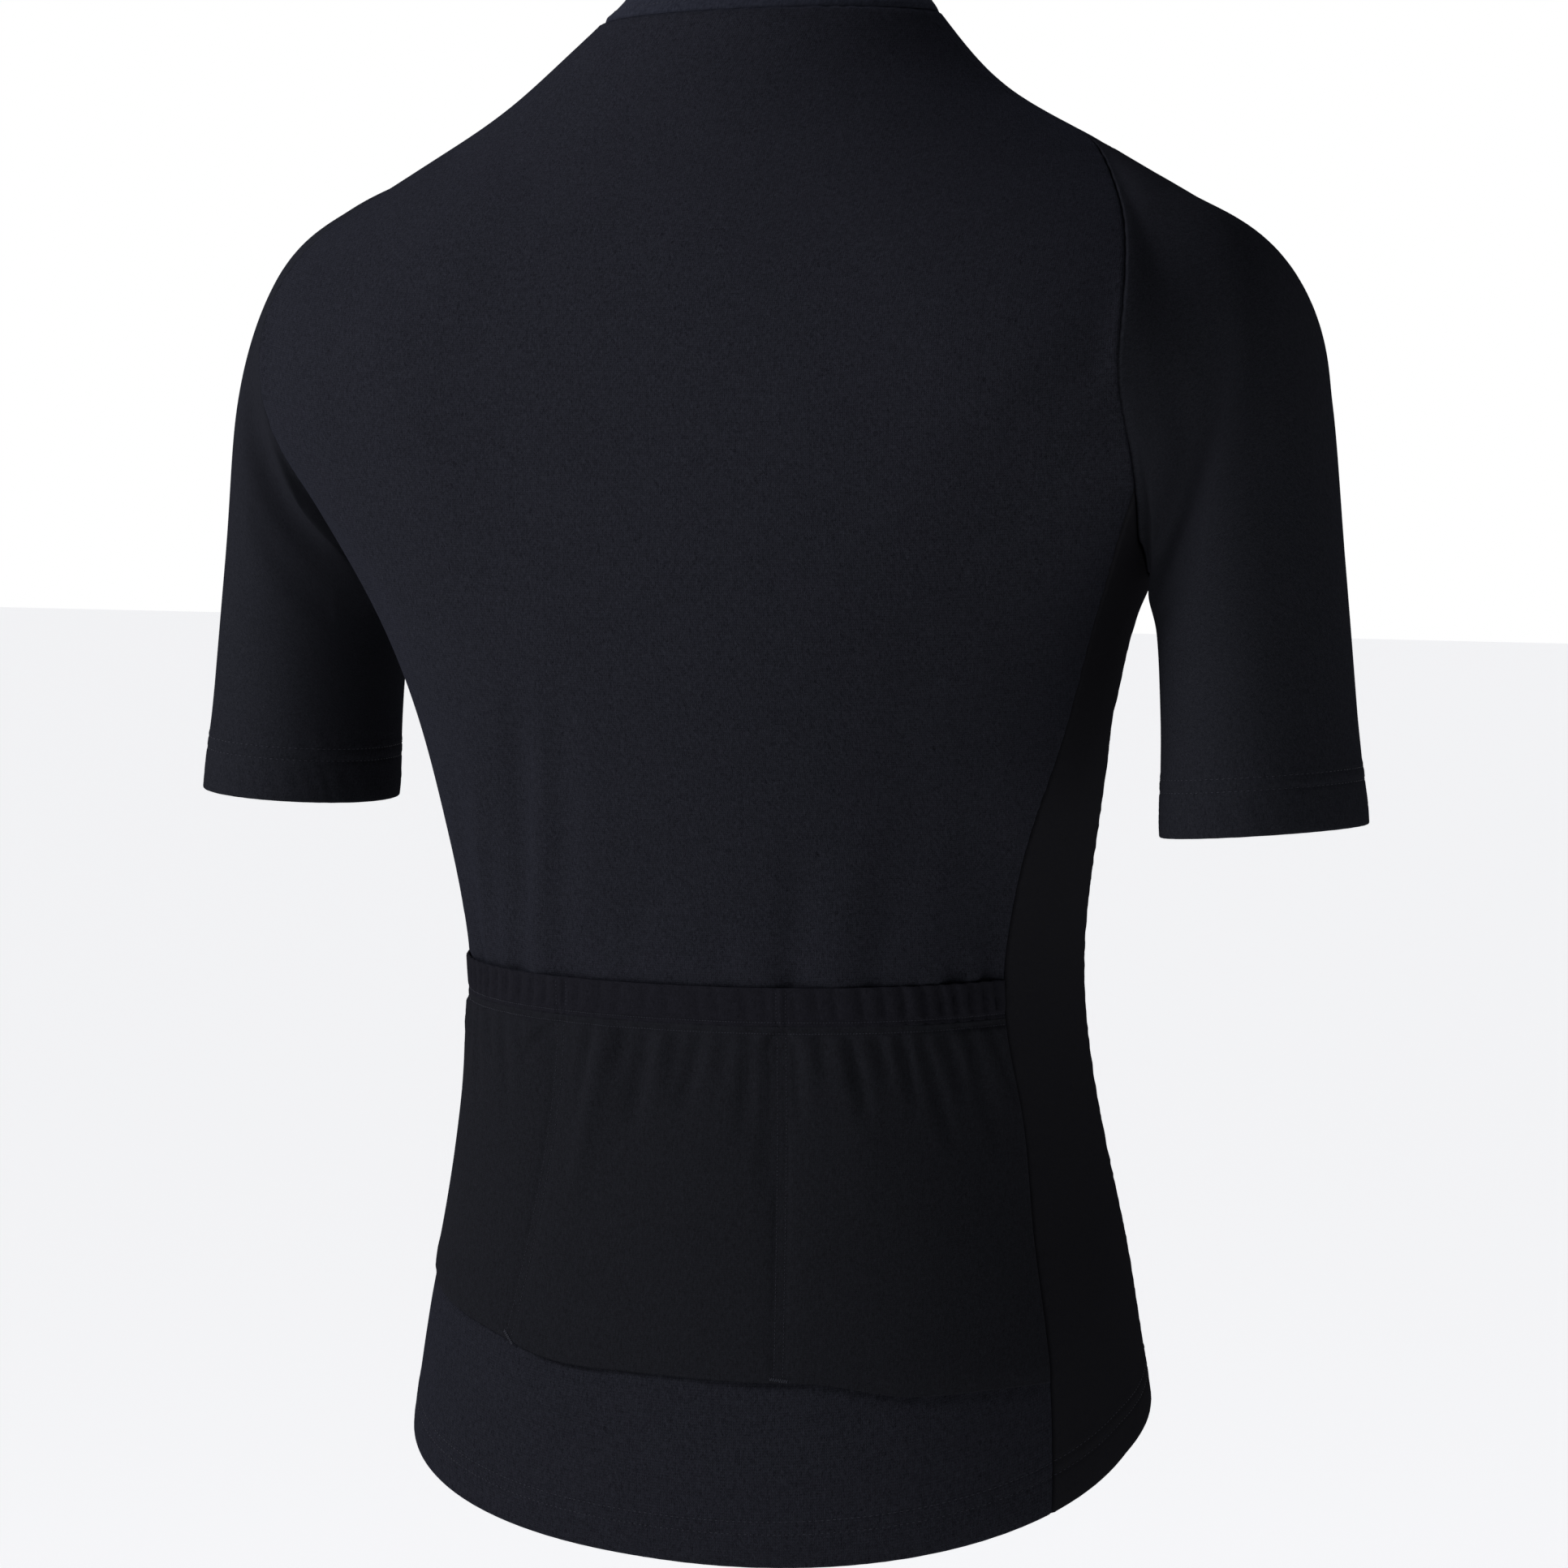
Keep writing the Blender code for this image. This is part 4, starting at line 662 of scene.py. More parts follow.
def square_off(grid, near, far):
    """Turns distances along a row into distances square to the panel's two edges."""
    points = grid[..., :3]
    for column, step, distance in ((0, 1, near), (-1, -2, far)):
        edge = unit(np.gradient(points[:, column], axis=0))
        row = unit(points[:, step] - points[:, column])
        distance *= np.linalg.norm(np.cross(edge, row), axis=1)[:, None]
    return points, grid[..., 3], grid[..., 4], near, far


def signed_width(points, turn, centre):
    """Distance across each row from where it passes a turn."""
    steps = np.linalg.norm(np.diff(points, axis=1), axis=2)
    length = np.concatenate([np.zeros((len(points), 1)), np.cumsum(steps, axis=1)], axis=1)
    order = np.sign(turn[0, -1] - turn[0, 0])
    zero = np.array([np.interp(order * centre, order * turns, lengths)
                     for turns, lengths in zip(turn, length)])
    return length - zero[:, None]


def dropped(points, run):
    """The panel with its hem hanging a little lower, stretched by its own weight."""
    return points - np.array([0, 0, HEM_DROP]) * (1 - ease(run / 0.045))[..., None]


def hemmed(name, points, normals, pattern, turn, finish_of, closed=False):
    """A panel with its hem turned up behind it; the pattern's second value is the height there."""
    behind = int(np.searchsorted(pattern[:, 0, 1], turn))
    folded = turned_up(points, normals, behind, HEM_FOLD)
    pattern = np.concatenate([pattern[behind:1:-1] * np.array([1, -1]),
                              np.repeat(pattern[:1], HEM_FOLD_ROWS, 0), pattern[2:]])
    return grid_piece(name, folded, pattern, finish_of, CLOTH, closed)


def body_piece(name, points, relief, around, height, finish_of, reach=0.0):
    """Makes a panel, sews its hem and keeps it.  Gives its points and outward normals.

    reach is how far its side edges go under the panels beside it.
    """
    normals = normals_of(points)
    points = dropped(points + relief[..., None] * normals, height)
    if reach:
        for column, beside in ((0, 1), (-1, -2)):
            points[:, column] += (reach * unit(points[:, column] - points[:, beside])
                                  - EDGE_SUNK * normals[:, column])
    normals = normals_of(points)
    piece = hemmed(name, points, normals, flat_pattern(around, height), HEM_TURN, finish_of)
    hem_sewing.extend(sew_rows(points, normals, height[:, 0], HEM_ROWS))
    keep(piece, name.replace("_cloth", ""))
    return points, normals


def back_relief(turn, run, near, far, around):
    above, inner = run - BAND_TOP, inside_of(np.minimum(near, far))
    relief = (seam_roll(near) + seam_roll(far)) * shoulder_share(run)
    for kind, distance, phase in (("back_left", near, 0.4), ("back_right", far, 2.1)):
        relief += seam_pucker(kind, distance, run, phase) * ease((above + 0.004) / 0.006)
    for at, length, width, depth in BACK_DIPS:
        fade = np.clip((above + 0.006) / 0.006, 0, 1) * (1 - ease(above / length))
        relief += depth * fade * inner * bump((turn - at) * DEGREE / (width * (1 + above * 30)))
    relief += crease_height(BACK_CREASES, turn, run) * inner
    relief += inner * groove("back_under_foot", run - pocket_foot(turn)[..., 0] + 0.0008)
    relief -= 0.0020 * inner * ease((run - BAND_FOOT + 0.006) / 0.006) * (
        1 - ease((above + 0.0030) / 0.0025))
    relief += hem_relief(run, around, HEM_ROWS, HEM_TURN, inner) + seam_roll(NECK - run)
    return relief + pucker("neck", NECK - run, around, 0.9)


def sew_line(points, normals, pitch, ends=0.001):
    """Places for stitches along a line on the cloth: points, directions and outward normals."""
    length = length_along(points)
    at = np.arange(ends, length[-1] - ends, pitch) + pitch / 2
    at = at[at < length[-1] - ends]
    way = (values_at(at + pitch / 3, length, points)
           - values_at(at - pitch / 3, length, points))
    return values_at(at, length, points), unit(way), unit(values_at(at, length, normals))


def sew_rows(points, normals, levels, heights, pitch=HEM_STITCH):
    """Places for stitches along the rows of a grid that are nearest to some heights."""
    rows = [int(np.argmin(np.abs(levels - height))) for height in heights]
    return [sew_line(points[row], normals[row], pitch) for row in rows]


body_runs = up_rows(*HEM_ROWS, top=NECK)
hem_sewing, front_sewing = [], []

# back
edge = seam_turn(body_runs, True)
points, turn, run, near, far = body_strip(body_runs, edge, -edge, 138)
around = signed_width(points, turn, 0.0)
body_piece("back_cloth", points, back_relief(turn, run, near, far, around), around, run, BACK_KNIT)

# fronts and side panels
for side, word in ((1, "left"), (-1, "right")):
    edge, middle = seam_turn(body_runs, False), turn_at_x(ZIP_HALF_OPENING, body_runs)
    first, last = (middle, edge) if side > 0 else (-edge, -middle)
    points, turn, run, near, far = body_strip(body_runs, first, last, 60)
    to_zip, to_seam = (near, far) if side > 0 else (far, near)
    around = side * signed_width(points, np.abs(turn), 180.0)
    relief = seam_roll(to_seam) + seam_pucker("front", to_seam, run, side)
    relief = relief * shoulder_share(run) + seam_roll(NECK - run)
    relief += hem_relief(run, around, HEM_ROWS, HEM_TURN, inside_of(to_seam))
    relief += groove("zip_row", to_zip - ZIP_ROW) + groove("zip_edge", to_zip)
    relief += pucker("zip", to_zip - ZIP_ROW, run, side + 0.5)
    points, normals = body_piece("front_cloth_" + word, points, relief, around, run, BACK_KNIT)
    beside_zip = 4 if side > 0 else -5
    front_sewing.append(sew_line(points[:, beside_zip], normals[:, beside_zip], HEM_STITCH))

    side_runs, share = up_rows(*HEM_ROWS, top=UNDERARM_BACK), np.linspace(0, 1, 60)
    top_turns = SIDE_TOP[0] + (SIDE_TOP[1] - SIDE_TOP[0]) * share
    curve = (np.interp(top_turns, armhole_turn[under_arm], armhole_run[under_arm])
             - UNDERARM_BACK - share * (UNDERARM_FRONT - UNDERARM_BACK))
    lines = []
    for r in side_runs:
        rise = max(0.0, (r - SIDE_BEND) / (UNDERARM_BACK - SIDE_BEND))
        front_run = r - rise * (UNDERARM_BACK - UNDERARM_FRONT)
        turns = side * (side_back(r)[0] * (1 - share) + side_front(front_run)[0] * share)
        runs = r + share * (front_run - r) + rise * curve
        line = cloth_line(turns, runs)
        lines.append(line[::-1] if side > 0 else line)
    points, turn, run, near, far = square_off(*respace(lines, EDGE_STEPS, 18, EDGE_STEPS))
    around = signed_width(points, turn, side * 95.0)
    height = np.broadcast_to(side_runs[:, None], run.shape)
    relief = seam_roll(UNDERARM_BACK - height)
    for distance, phase in ((near, 1.0), (far, 2.0)):
        relief += seam_roll(distance) + seam_pucker("side", distance, run, phase)
    relief += hem_relief(height, around, HEM_ROWS, HEM_TURN, inside_of(np.minimum(near, far)))
    body_piece("side_cloth_" + word, points, relief, around, height, SIDE_KNIT,
               reach=EDGE_UNDER)


# ---- sleeves
def sleeve_ring(values, angle):
    outer_x, outer_z, inner_x, inner_z, back_y, front_y, bulge = values
    outer, inner = np.array([outer_x, 0, outer_z]), np.array([inner_x, 0, inner_z])
    across = (outer - inner) / 2
    out_of_ring = unit(np.array([-across[2], 0, across[0]]))
    out_of_ring = out_of_ring * (1 if out_of_ring[0] > 0 else -1)
    sine, cosine = np.sin(np.radians(angle))[:, None], np.cos(np.radians(angle))[:, None]
    depth = np.where(sine > 0, back_y, -front_y)
    return ((outer + inner) / 2 + across * cosine + depth * sine * np.array([0, 1, 0])
            + bulge * sine ** 2 * out_of_ring)


def sleeve_lines(columns):
    """Lines from the armhole to the cuff, each a row of points with its angle and share."""
    fine = np.linspace(0, 360, 2401)
    run, turn = np.moveaxis(armhole(fine), -1, 0)
    seam = body_form(turn, run)
    length = length_along(seam)
    angle = np.interp(np.linspace(0, length[-1], columns + 1)[:-1], length, fine)
    run, turn = np.moveaxis(armhole(angle), -1, 0)
    seam, outward_of_body = body_cloth(turn, run), body_normal(turn, run)
    along = unit(np.roll(seam, -1, 0) - np.roll(seam, 1, 0))
    outward = unit(np.cross(along, outward_of_body))
    ring_angle = angle - TWIST * np.exp(-((angle - TWIST_ANGLE) / TWIST_WIDTH) ** 2)
    rings = [seam] + [sleeve_ring(values, ring_angle) for values in SLEEVE_RINGS]
    tuck = np.clip((TUCK_WIDTH - np.abs(angle - TUCK_ANGLE)) / TUCK_FADE, 0, 1)[:, None]
    clear_of_body = (rings[0] + rings[2]) / 2 + TUCK_RISE * outward_of_body
    rings[1] = rings[1] * (1 - tuck) + clear_of_body * tuck
    chord = rings[1] - seam
    level = unit(chord - (chord * outward_of_body).sum(1, keepdims=True) * outward_of_body)
    below = ease((BELOW_WIDTH - np.abs(angle - BELOW_ANGLE)) / BELOW_FADE)[:, None]
    way = unit(level * (1 - below) + outward * below)
    start = unit(way * (1 - below / 2) + unit(chord) * below / 2
                 + outward_of_body * TUCK_LIFT * tuck)
    tangents = [start * np.linalg.norm(chord, axis=1)[:, None] * (1 - 0.4 * below)]
    tangents += [(rings[k + 1] - rings[k - 1]) / 2 for k in range(1, len(rings) - 1)]
    tangents.append(rings[-1] - rings[-2])
    rows = [seam]
    for k in range(len(rings) - 1):
        for t in np.linspace(0, 1, 33)[1:]:
            rows.append((2 * t ** 3 - 3 * t ** 2 + 1) * rings[k] + (t ** 3 - 2 * t ** 2 + t)
                        * tangents[k] + (3 * t ** 2 - 2 * t ** 3) * rings[k + 1]
                        + (t ** 3 - t ** 2) * tangents[k + 1])
    rows = np.array(rows)
    share = np.linspace(0, 1, len(rows))
    return rows, angle, share, outward_of_body


# Sizes and places of the cuff's rows, up from its edge.
CUFF_STEPS = tuple(sorted(set(up_rows(*CUFF_ROWS, top=0.032, step=0.0023).round(6))))
rows, angle, share, at_seam = sleeve_lines(150)
lines = [np.column_stack([rows[:, j], np.full(len(rows), angle[j]), share])
         for j in range(rows.shape[1])]
grid, to_seam, to_cuff = respace(lines, EDGE_STEPS, 76, CUFF_STEPS)
grid, to_seam, to_cuff = (np.swapaxes(part, 0, 1)[::-1] for part in (grid, to_seam, to_cuff))
sleeve, sleeve_angle, sleeve_share = grid[..., :3], grid[..., 3], grid[..., 4]
cuff_sewing = {}
for side, word in ((1, "left"), (-1, "right")):
    flip = slice(None, None, -1 if side < 0 else 1)
    points = sleeve[:, flip] * np.array([side, 1, 1])
    turned, shares = sleeve_angle[:, flip], sleeve_share[:, flip]
    from_seam, from_cuff = to_seam[:, flip], to_cuff[:, flip]
    ring_steps = np.linalg.norm(np.roll(points, -1, 1) - points, axis=2)
    around = np.concatenate([np.zeros((len(points), 1)), np.cumsum(ring_steps, axis=1)], axis=1)
    normals = normals_of(points, closed=True)
    relief = crease_height(SLEEVE_FOLDS, turned, shares, (0.0009, 0.22), FOLD_WAVE, 0.5)
    relief += seam_pucker("armhole", from_seam, around[:, :-1], 0.3)
    relief += hem_relief(from_cuff, around[:, :-1], CUFF_ROWS, CUFF_TURN)
    body_side = at_seam[flip] * np.array([side, 1, 1])
    points = (points + relief[..., None] * normals
              + SLEEVE_ROLL * seam_roll(from_seam)[..., None] * body_side[None])
    points[-1] += EDGE_UNDER * unit(points[-1] - points[-2]) - EDGE_SUNK * body_side
    normals = normals_of(points, closed=True)
    piece = hemmed("sleeve_cloth_" + word, points, normals, flat_pattern(around, from_cuff[:, :1]),
                   CUFF_TURN, SLEEVE_KNIT, closed=True)
    keep(piece, "sleeve_" + word)
    closed_rows = [np.concatenate([grid, grid[:, :1]], axis=1) for grid in (points, normals)]
    cuff_sewing[word] = sew_rows(*closed_rows, from_cuff[:, 0], CUFF_ROWS)


# ---- collar
def collar_points(turns, heights, gap=COLLAR_GAP):
    seam = body_form(turns, np.full(len(turns), NECK))
    inward = unit((np.array([0, NECK_CENTRE_Y, 0]) - seam) * np.array([1, 1, 0]))
    front_share = (1 - np.cos(np.radians(turns)))[:, None] / 2
    rows = []
    for height in heights:
        behind, before = collar_row(height + gap)
        lean = behind + (before - behind) * front_share
        rows.append(seam + inward * lean + np.array([0, 0, gap + height]))
    return np.array(rows)


def make_collar():
    front = float(turn_at_x(ZIP_HALF_OPENING, NECK)[0])
    turns = np.linspace(front, -front, 160)
    heights = np.concatenate([[-COLLAR_GAP], EDGE_STEPS[1:], np.linspace(0.008, 0.0325, 15)])
    points = collar_points(turns, heights)
    points[:, 0, 0], points[:, -1, 0] = ZIP_HALF_OPENING, -ZIP_HALF_OPENING
    normals = normals_of(points)
    level = heights[:, None]
    around = signed_width(points, np.broadcast_to(turns, points.shape[:2]), 0.0)
    relief = (seam_roll(level + COLLAR_GAP) + groove("collar_row", level - COLLAR_ROW)
              + pucker("collar", level - 0.003, around, 0.7))
    outer = points + relief[..., None] * normals
    inner = points - COLLAR_CLOTH * normals
    crown = (outer[-1] + inner[-1]) / 2
    up = unit(outer[-1] - outer[-2])
    fold = arc(crown, COLLAR_CLOTH / 2, normals[-1], up, np.linspace(0, math.pi, 8)[1:-1])
    loop = np.concatenate([outer, fold, inner[::-1]])
    rise = np.concatenate([heights, heights[-1] + 0.003 * np.arange(1, 7) / 6,
                           0.07 - heights[::-1]])
    pattern = flat_pattern(np.concatenate([around, np.repeat(around[-1:], 6, 0), around[::-1]]),
                           rise[:, None])
    piece = grid_piece("collar_cloth", loop, pattern, COLLAR_KNIT, None)
    close_ends(piece.data, *loop.shape[:2])
    keep(piece, "collar")
    return sew_rows(outer, normals, heights, [COLLAR_ROW])


def close_ends(mesh, rows, columns):
    """Closes a folded strip, of an even number of rows, along its foot and at its two ends."""
    solid = bmesh.new()
    solid.from_mesh(mesh)
    solid.verts.ensure_lookup_table()
    layer = solid.loops.layers.uv.active
    last = (rows - 1) * columns
    faces = [(last + j, last + j + 1, j + 1, j) for j in range(columns - 1)]
    for low in range(0, (rows // 2 - 1) * columns, columns):
        high, end = last - low, columns - 1
        faces.append((low, low + columns, high - columns, high))
        faces.append((high + end, high - columns + end, low + columns + end, low + end))
    for face in faces:
        corners = [solid.verts[k] for k in face]
        made = solid.faces.new(corners)
        made.smooth = True
        source = {v: v.link_loops[0][layer].uv.copy() for v in corners}
        for loop in made.loops:
            loop[layer].uv = source[loop.vert]
    solid.to_mesh(mesh)
    solid.free()


collar_sewing = make_collar()


# ---- pockets
def divider_turn(word, drop):
    mouth, middle, foot = DIVIDERS[word]
    return (mouth * (1 - drop) * (1 - 2 * drop) + middle * 4 * drop * (1 - drop)
            + foot * drop * (2 * drop - 1))


def fold_rise(word, place, depth):
    rise = np.zeros(np.broadcast(place, depth).shape)
    for start, drift, width, height, length in POCKET_FOLDS[word]:
        share = np.clip(depth / length, 0, 1)
        rise += height * (1 - share) ** 1.4 * bump((place - start - drift * share) / width)
    return rise


def gather_strength(turn):
    turns, shares = zip(*GATHER_STRENGTH)
    return np.interp(turn, turns, shares)


def band_foot_lift(turn):
    """Height of the cloth between the two needle rows, where band and panel meet."""
    return BAND_LIFT + 0.0005 * (gathers(turn) - 0.6) * gather_strength(turn)


def gathers(turn):
    """Rounded ridges with sharp valleys between them, at uneven distances round the band."""
    valleys = np.array(BAND_VALLEYS)[::-1]
    k = np.clip(np.searchsorted(valleys, turn) - 1, 0, len(valleys) - 2)
    width = valleys[k + 1] - valleys[k]
    share = np.clip((turn - valleys[k]) / width, 0, 1)
    return np.sin(math.pi * share) ** 0.7 * (width / 4.2) ** 0.8 * (0.88 + 0.12 * np.sin(k * 2.3))


def pocket_line(run_of, drop):
    """One row of the pocket panel, its points evenly across each pocket and fine at its edges."""
    bounds = []
    for word, turn, side in (("", 71.0, 1), ("left", 19.0, 0), ("right", -22.0, 0),
                             ("", -71.0, -1)):
        for _ in range(4):
            edge = float(seam_turn(np.array(run_of(turn)), True))
            turn = side * edge if side else divider_turn(word, drop)
        bounds.append(turn)
    line = []
    for k, (a, b, middle) in enumerate(zip(bounds, bounds[1:], POCKET_POINTS)):
        turns = np.linspace(a, b, 90)
        base = cloth_line(turns, [run_of(t) for t in turns])
        head = EDGE_STEPS if k == 0 else DIVIDER_STEPS
        tail = EDGE_STEPS if k == 2 else DIVIDER_STEPS
        (part,), (near,), (far,) = respace([base], head, middle, tail)
        place = (part[:, 3] - a) / (b - a)
        rows = np.column_stack([part, place, near, far, np.full(len(part), k)])
        line.append(rows[:None if k == 2 else -1])
    return np.concatenate(line)


def pocket_grid():
    """Rows of the panel: its lower ones follow its foot, its upper ones the band."""
    foot_steps = np.concatenate([[0, .0006, .0012, .002, .003, .0045, .0065, .009],
                                 np.linspace(0.0117, 0.1300, 44)])
    top_steps = (0.0095, 0.0072, 0.0050, 0.0042, 0.0036, 0.0030, 0.0024, 0.0018, 0.0010, 0.0)

    def from_foot(step, turn):
        foot = float(pocket_foot(turn)[0])
        scale = (BAND_FOOT - foot - top_steps[0] - 0.0022) / foot_steps[-1]
        return foot + step * (scale if step > 0.009 else min(1.0, scale))

    lines = [pocket_line(partial(from_foot, step), 1 - step / POCKET_DEPTH)
             for step in foot_steps]
    lines += [pocket_line(lambda turn, step=step: BAND_FOOT - step, step / POCKET_DEPTH)
              for step in top_steps]
    return np.array(lines)


def make_pocket_panel():
    grid = pocket_grid()
    turn, run, place, near, far, pocket = np.moveaxis(grid[..., 3:], -1, 0)
    depth, above_foot = BAND_FOOT - run, run - pocket_foot(turn)[..., 0]
    rise = np.zeros(turn.shape)
    for k, word in enumerate(POCKET_FOLDS):
        rise = np.where(pocket == k, fold_rise(word, place, depth), rise)
    rise = rise * (1 - ease((0.0056 - depth) / 0.004))
    inside_pocket = ease(np.minimum(near, far) / 0.014)
    rise += 0.0016 * np.sin(math.pi * np.clip(place, 0, 1)) ** 0.5 * np.sin(
        math.pi * np.clip(depth / (depth + above_foot), 0, 1))
    rise += 0.0013 * ease((depth - 0.0045) / 0.010) * np.exp(-depth / 0.070) * inside_pocket
    to_divider = np.minimum(np.where(pocket > 0, near, 1.0), np.where(pocket < 2, far, 1.0))
    to_side = np.minimum(np.where(pocket == 0, near, 1.0), np.where(pocket == 2, far, 1.0))
    lift = POCKET_LIFT + rise
    lift += (band_foot_lift(turn) - POCKET_LIFT) * (1 - ease(depth / 0.010))
    lift += ease(depth / 0.006) * (groove("divider", to_divider)
                                   + groove("divider_row", to_divider - DIVIDER_ROW))
    lift += pucker("divider", to_divider, run, 0.8) * ease(depth / 0.01)
    lift += groove("pocket_side", to_side)
    lift += groove("pocket_hem", above_foot - 0.008) + groove("pocket_foot", above_foot)
    around = signed_width(grid[..., :3], turn, 0.0)
    lift += pucker("pocket_foot", above_foot, around, 1.9)
    lift += groove("panel_band_row", run - BAND_ROWS[0])
    lift += 1.35 * crease_height(POCKET_CREASES, turn, run)
    least = np.where(depth < 0.004, -0.0004, 0.0001)
    lift = np.maximum(lift, least + POCKET_CLOTH + groove("least_side", to_side))
    points = grid[..., :3] + lift[..., None] * body_normal(turn, run)
    piece = grid_piece("pocket_panel_cloth", points, flat_pattern(around, run), POCKET_KNIT,
                       POCKET_CLOTH)
    keep(piece, "pocket_panel")
    return points, normals_of(points), run


def make_band():
    """The gathered band.  Gives its lower needle row, then the rows of the dividers."""
    runs = np.concatenate([[BAND_FOOT, BAND_FOOT + 0.0004],
                           np.linspace(BAND_FOOT + 0.0008, BAND_ROWS[1] + 0.0016, 6),
                           np.linspace(BAND_ROWS[1] + 0.0026, BAND_TOP - 0.0010, 9)])
    edge = float(seam_turn(np.array(BAND_FOOT), True))
    turns = np.linspace(edge, -edge, 1200)
    lines = [cloth_line(turns, r, body_form) for r in runs]
    grid, near, far = respace(lines, EDGE_STEPS, 300, EDGE_STEPS)
    turn, run = grid[..., 3], grid[..., 4]
    share = np.clip((run - BAND_ROWS[1]) / (BAND_TOP - BAND_ROWS[1]), 0, 1)
    swell = ease(share / 0.22) * (0.55 + 0.45 * np.sin(math.pi * share))
    slant = turn + (run - BAND_ROWS[1]) * 60 * np.sign(turn)
    lift = band_foot_lift(turn) * (1 - swell) + swell * (
        BAND_LIFT + 0.0017 * (gathers(slant) - 0.6) * gather_strength(turn))
    lift += groove("band_row", run - BAND_ROWS[1]) + groove("pocket_side", np.minimum(near, far))
    for mouth, _, _ in DIVIDERS.values():
        lift += groove("mouth_row", np.abs(turn - mouth) * DEGREE - DIVIDER_ROW)
    points = body_cloth(turn, run) + lift[..., None] * body_normal(turn, run)
    normals = normals_of(points)
    up, radius = unit(points[-1] - points[-2]), 0.0006
    crown = points[-1] - radius * normals[-1]
    fold = arc(crown, radius, normals[-1], up, np.linspace(0, math.pi, 7)[1:])
    tucked_in = np.array([0.002, 0.006, 0.011])
    loop = np.concatenate([points, fold, [fold[-1] - up * d for d in tucked_in]])
    around = signed_width(points, turn, 0.0)
    rise = np.concatenate([runs, runs[-1] + np.arange(1, 7) * 0.0004,
                           runs[-1] + 0.0024 + tucked_in])
    pattern = flat_pattern(np.concatenate([around, np.repeat(around[-1:], 9, 0)]), rise[:, None])
    piece = grid_piece("pocket_band_cloth", loop, pattern, BAND_KNIT, POCKET_CLOTH)
    keep(piece, "pocket_band")
    across = [int(np.argmin(np.abs((turn[8] - mouth) * DEGREE - off)))
              for mouth, _, _ in DIVIDERS.values() for off in (-DIVIDER_ROW, DIVIDER_ROW)]
    return (sew_rows(points, normals, runs, BAND_ROWS[1:], BAND_STITCH),
            [sew_line(points[6:, j], normals[6:, j], DIVIDER_STITCH) for j in across])


pocket_points, pocket_normals, pocket_run = make_pocket_panel()
band_sewing, divider_sewing = make_band()
band_sewing += sew_rows(pocket_points, pocket_normals, pocket_run[:, 60], BAND_ROWS[:1],
                        BAND_STITCH)
first_divider = len(EDGE_STEPS) + POCKET_POINTS[0] + len(DIVIDER_STEPS) - 1
second_divider = first_divider + 2 * len(DIVIDER_STEPS) + POCKET_POINTS[1] - 1
for column in (first_divider - 2, first_divider + 2, second_divider - 2, second_divider + 2):
    divider_sewing.append(sew_line(pocket_points[2:-4, column], pocket_normals[2:-4, column],
                                   DIVIDER_STITCH))


def bar_tack(middle, across, out, width, count):
    """A dense block of thread: zigzag stitches side by side across a short line."""
    up = np.cross(out, across)
    places = [middle + across * ((k + 0.5) / count - 0.5) * width for k in range(count)]
    ways = [unit(up + across * (0.25 if k % 2 else -0.25)) for k in range(count)]
    outs = np.array([out] * count)
    return np.array(places) + 0.0002 * outs, np.array(ways), outs


tack_sewing = []
for column, lean in ((first_divider, -0.55), (second_divider, -0.12)):
    out = pocket_normals[2, column]
    right = unit(pocket_points[2, column + 3] - pocket_points[2, column - 3])
    tack_sewing.append(bar_tack(pocket_points[2, column],
                                unit(right + lean * np.cross(out, right)), out, 0.0080, 16))


# ---- zip
def zip_rows(step=0.003):
    """Middle, outward normal and tape edge at heights up the front and the collar."""
    rows = []
    for run in np.arange(0.0, NECK - 0.0005, step):
        turn = float(turn_at_x(ZIP_HALF_TAPE, run)[0])
        rows.append((body_form(180.0, run), body_normal(180.0, run), body_form(turn, run),
                     body_normal(turn, run), SOLID_CLOTH))
    turn = float(turn_at_x(ZIP_HALF_TAPE, NECK)[0])
    sag = body_form(180.0, NECK) - body_form(turn, NECK)
    for height in np.arange(0.004, COLLAR_HEIGHT + 0.0001, step):
        low, high = collar_points(np.array([180.0]), (height - 0.001, height + 0.001))[:, 0]
        out = unit(np.cross(high - low, np.array([-1.0, 0.0, 0.0])))
        middle = (low + high) / 2
        rows.append((middle, out, middle + np.array([ZIP_HALF_TAPE, -sag[1], 0]), out,
                     COLLAR_CLOTH))
    return [np.array(part) for part in zip(*rows)]


def slider_frame():
    low, high = collar_points(np.array([180.0]), (SLIDER_HEIGHT - SLIDER_REACH,
                                                  SLIDER_HEIGHT + SLIDER_REACH))[:, 0]
    across = np.array([1.0, 0.0, 0.0])
    out = unit(np.cross(high - low, -across))
    axes = (across, np.cross(out, across), out, (low + high) / 2)
    return Matrix([[float(axis[i]) for axis in axes] for i in range(3)] + [[0, 0, 0, 1]])


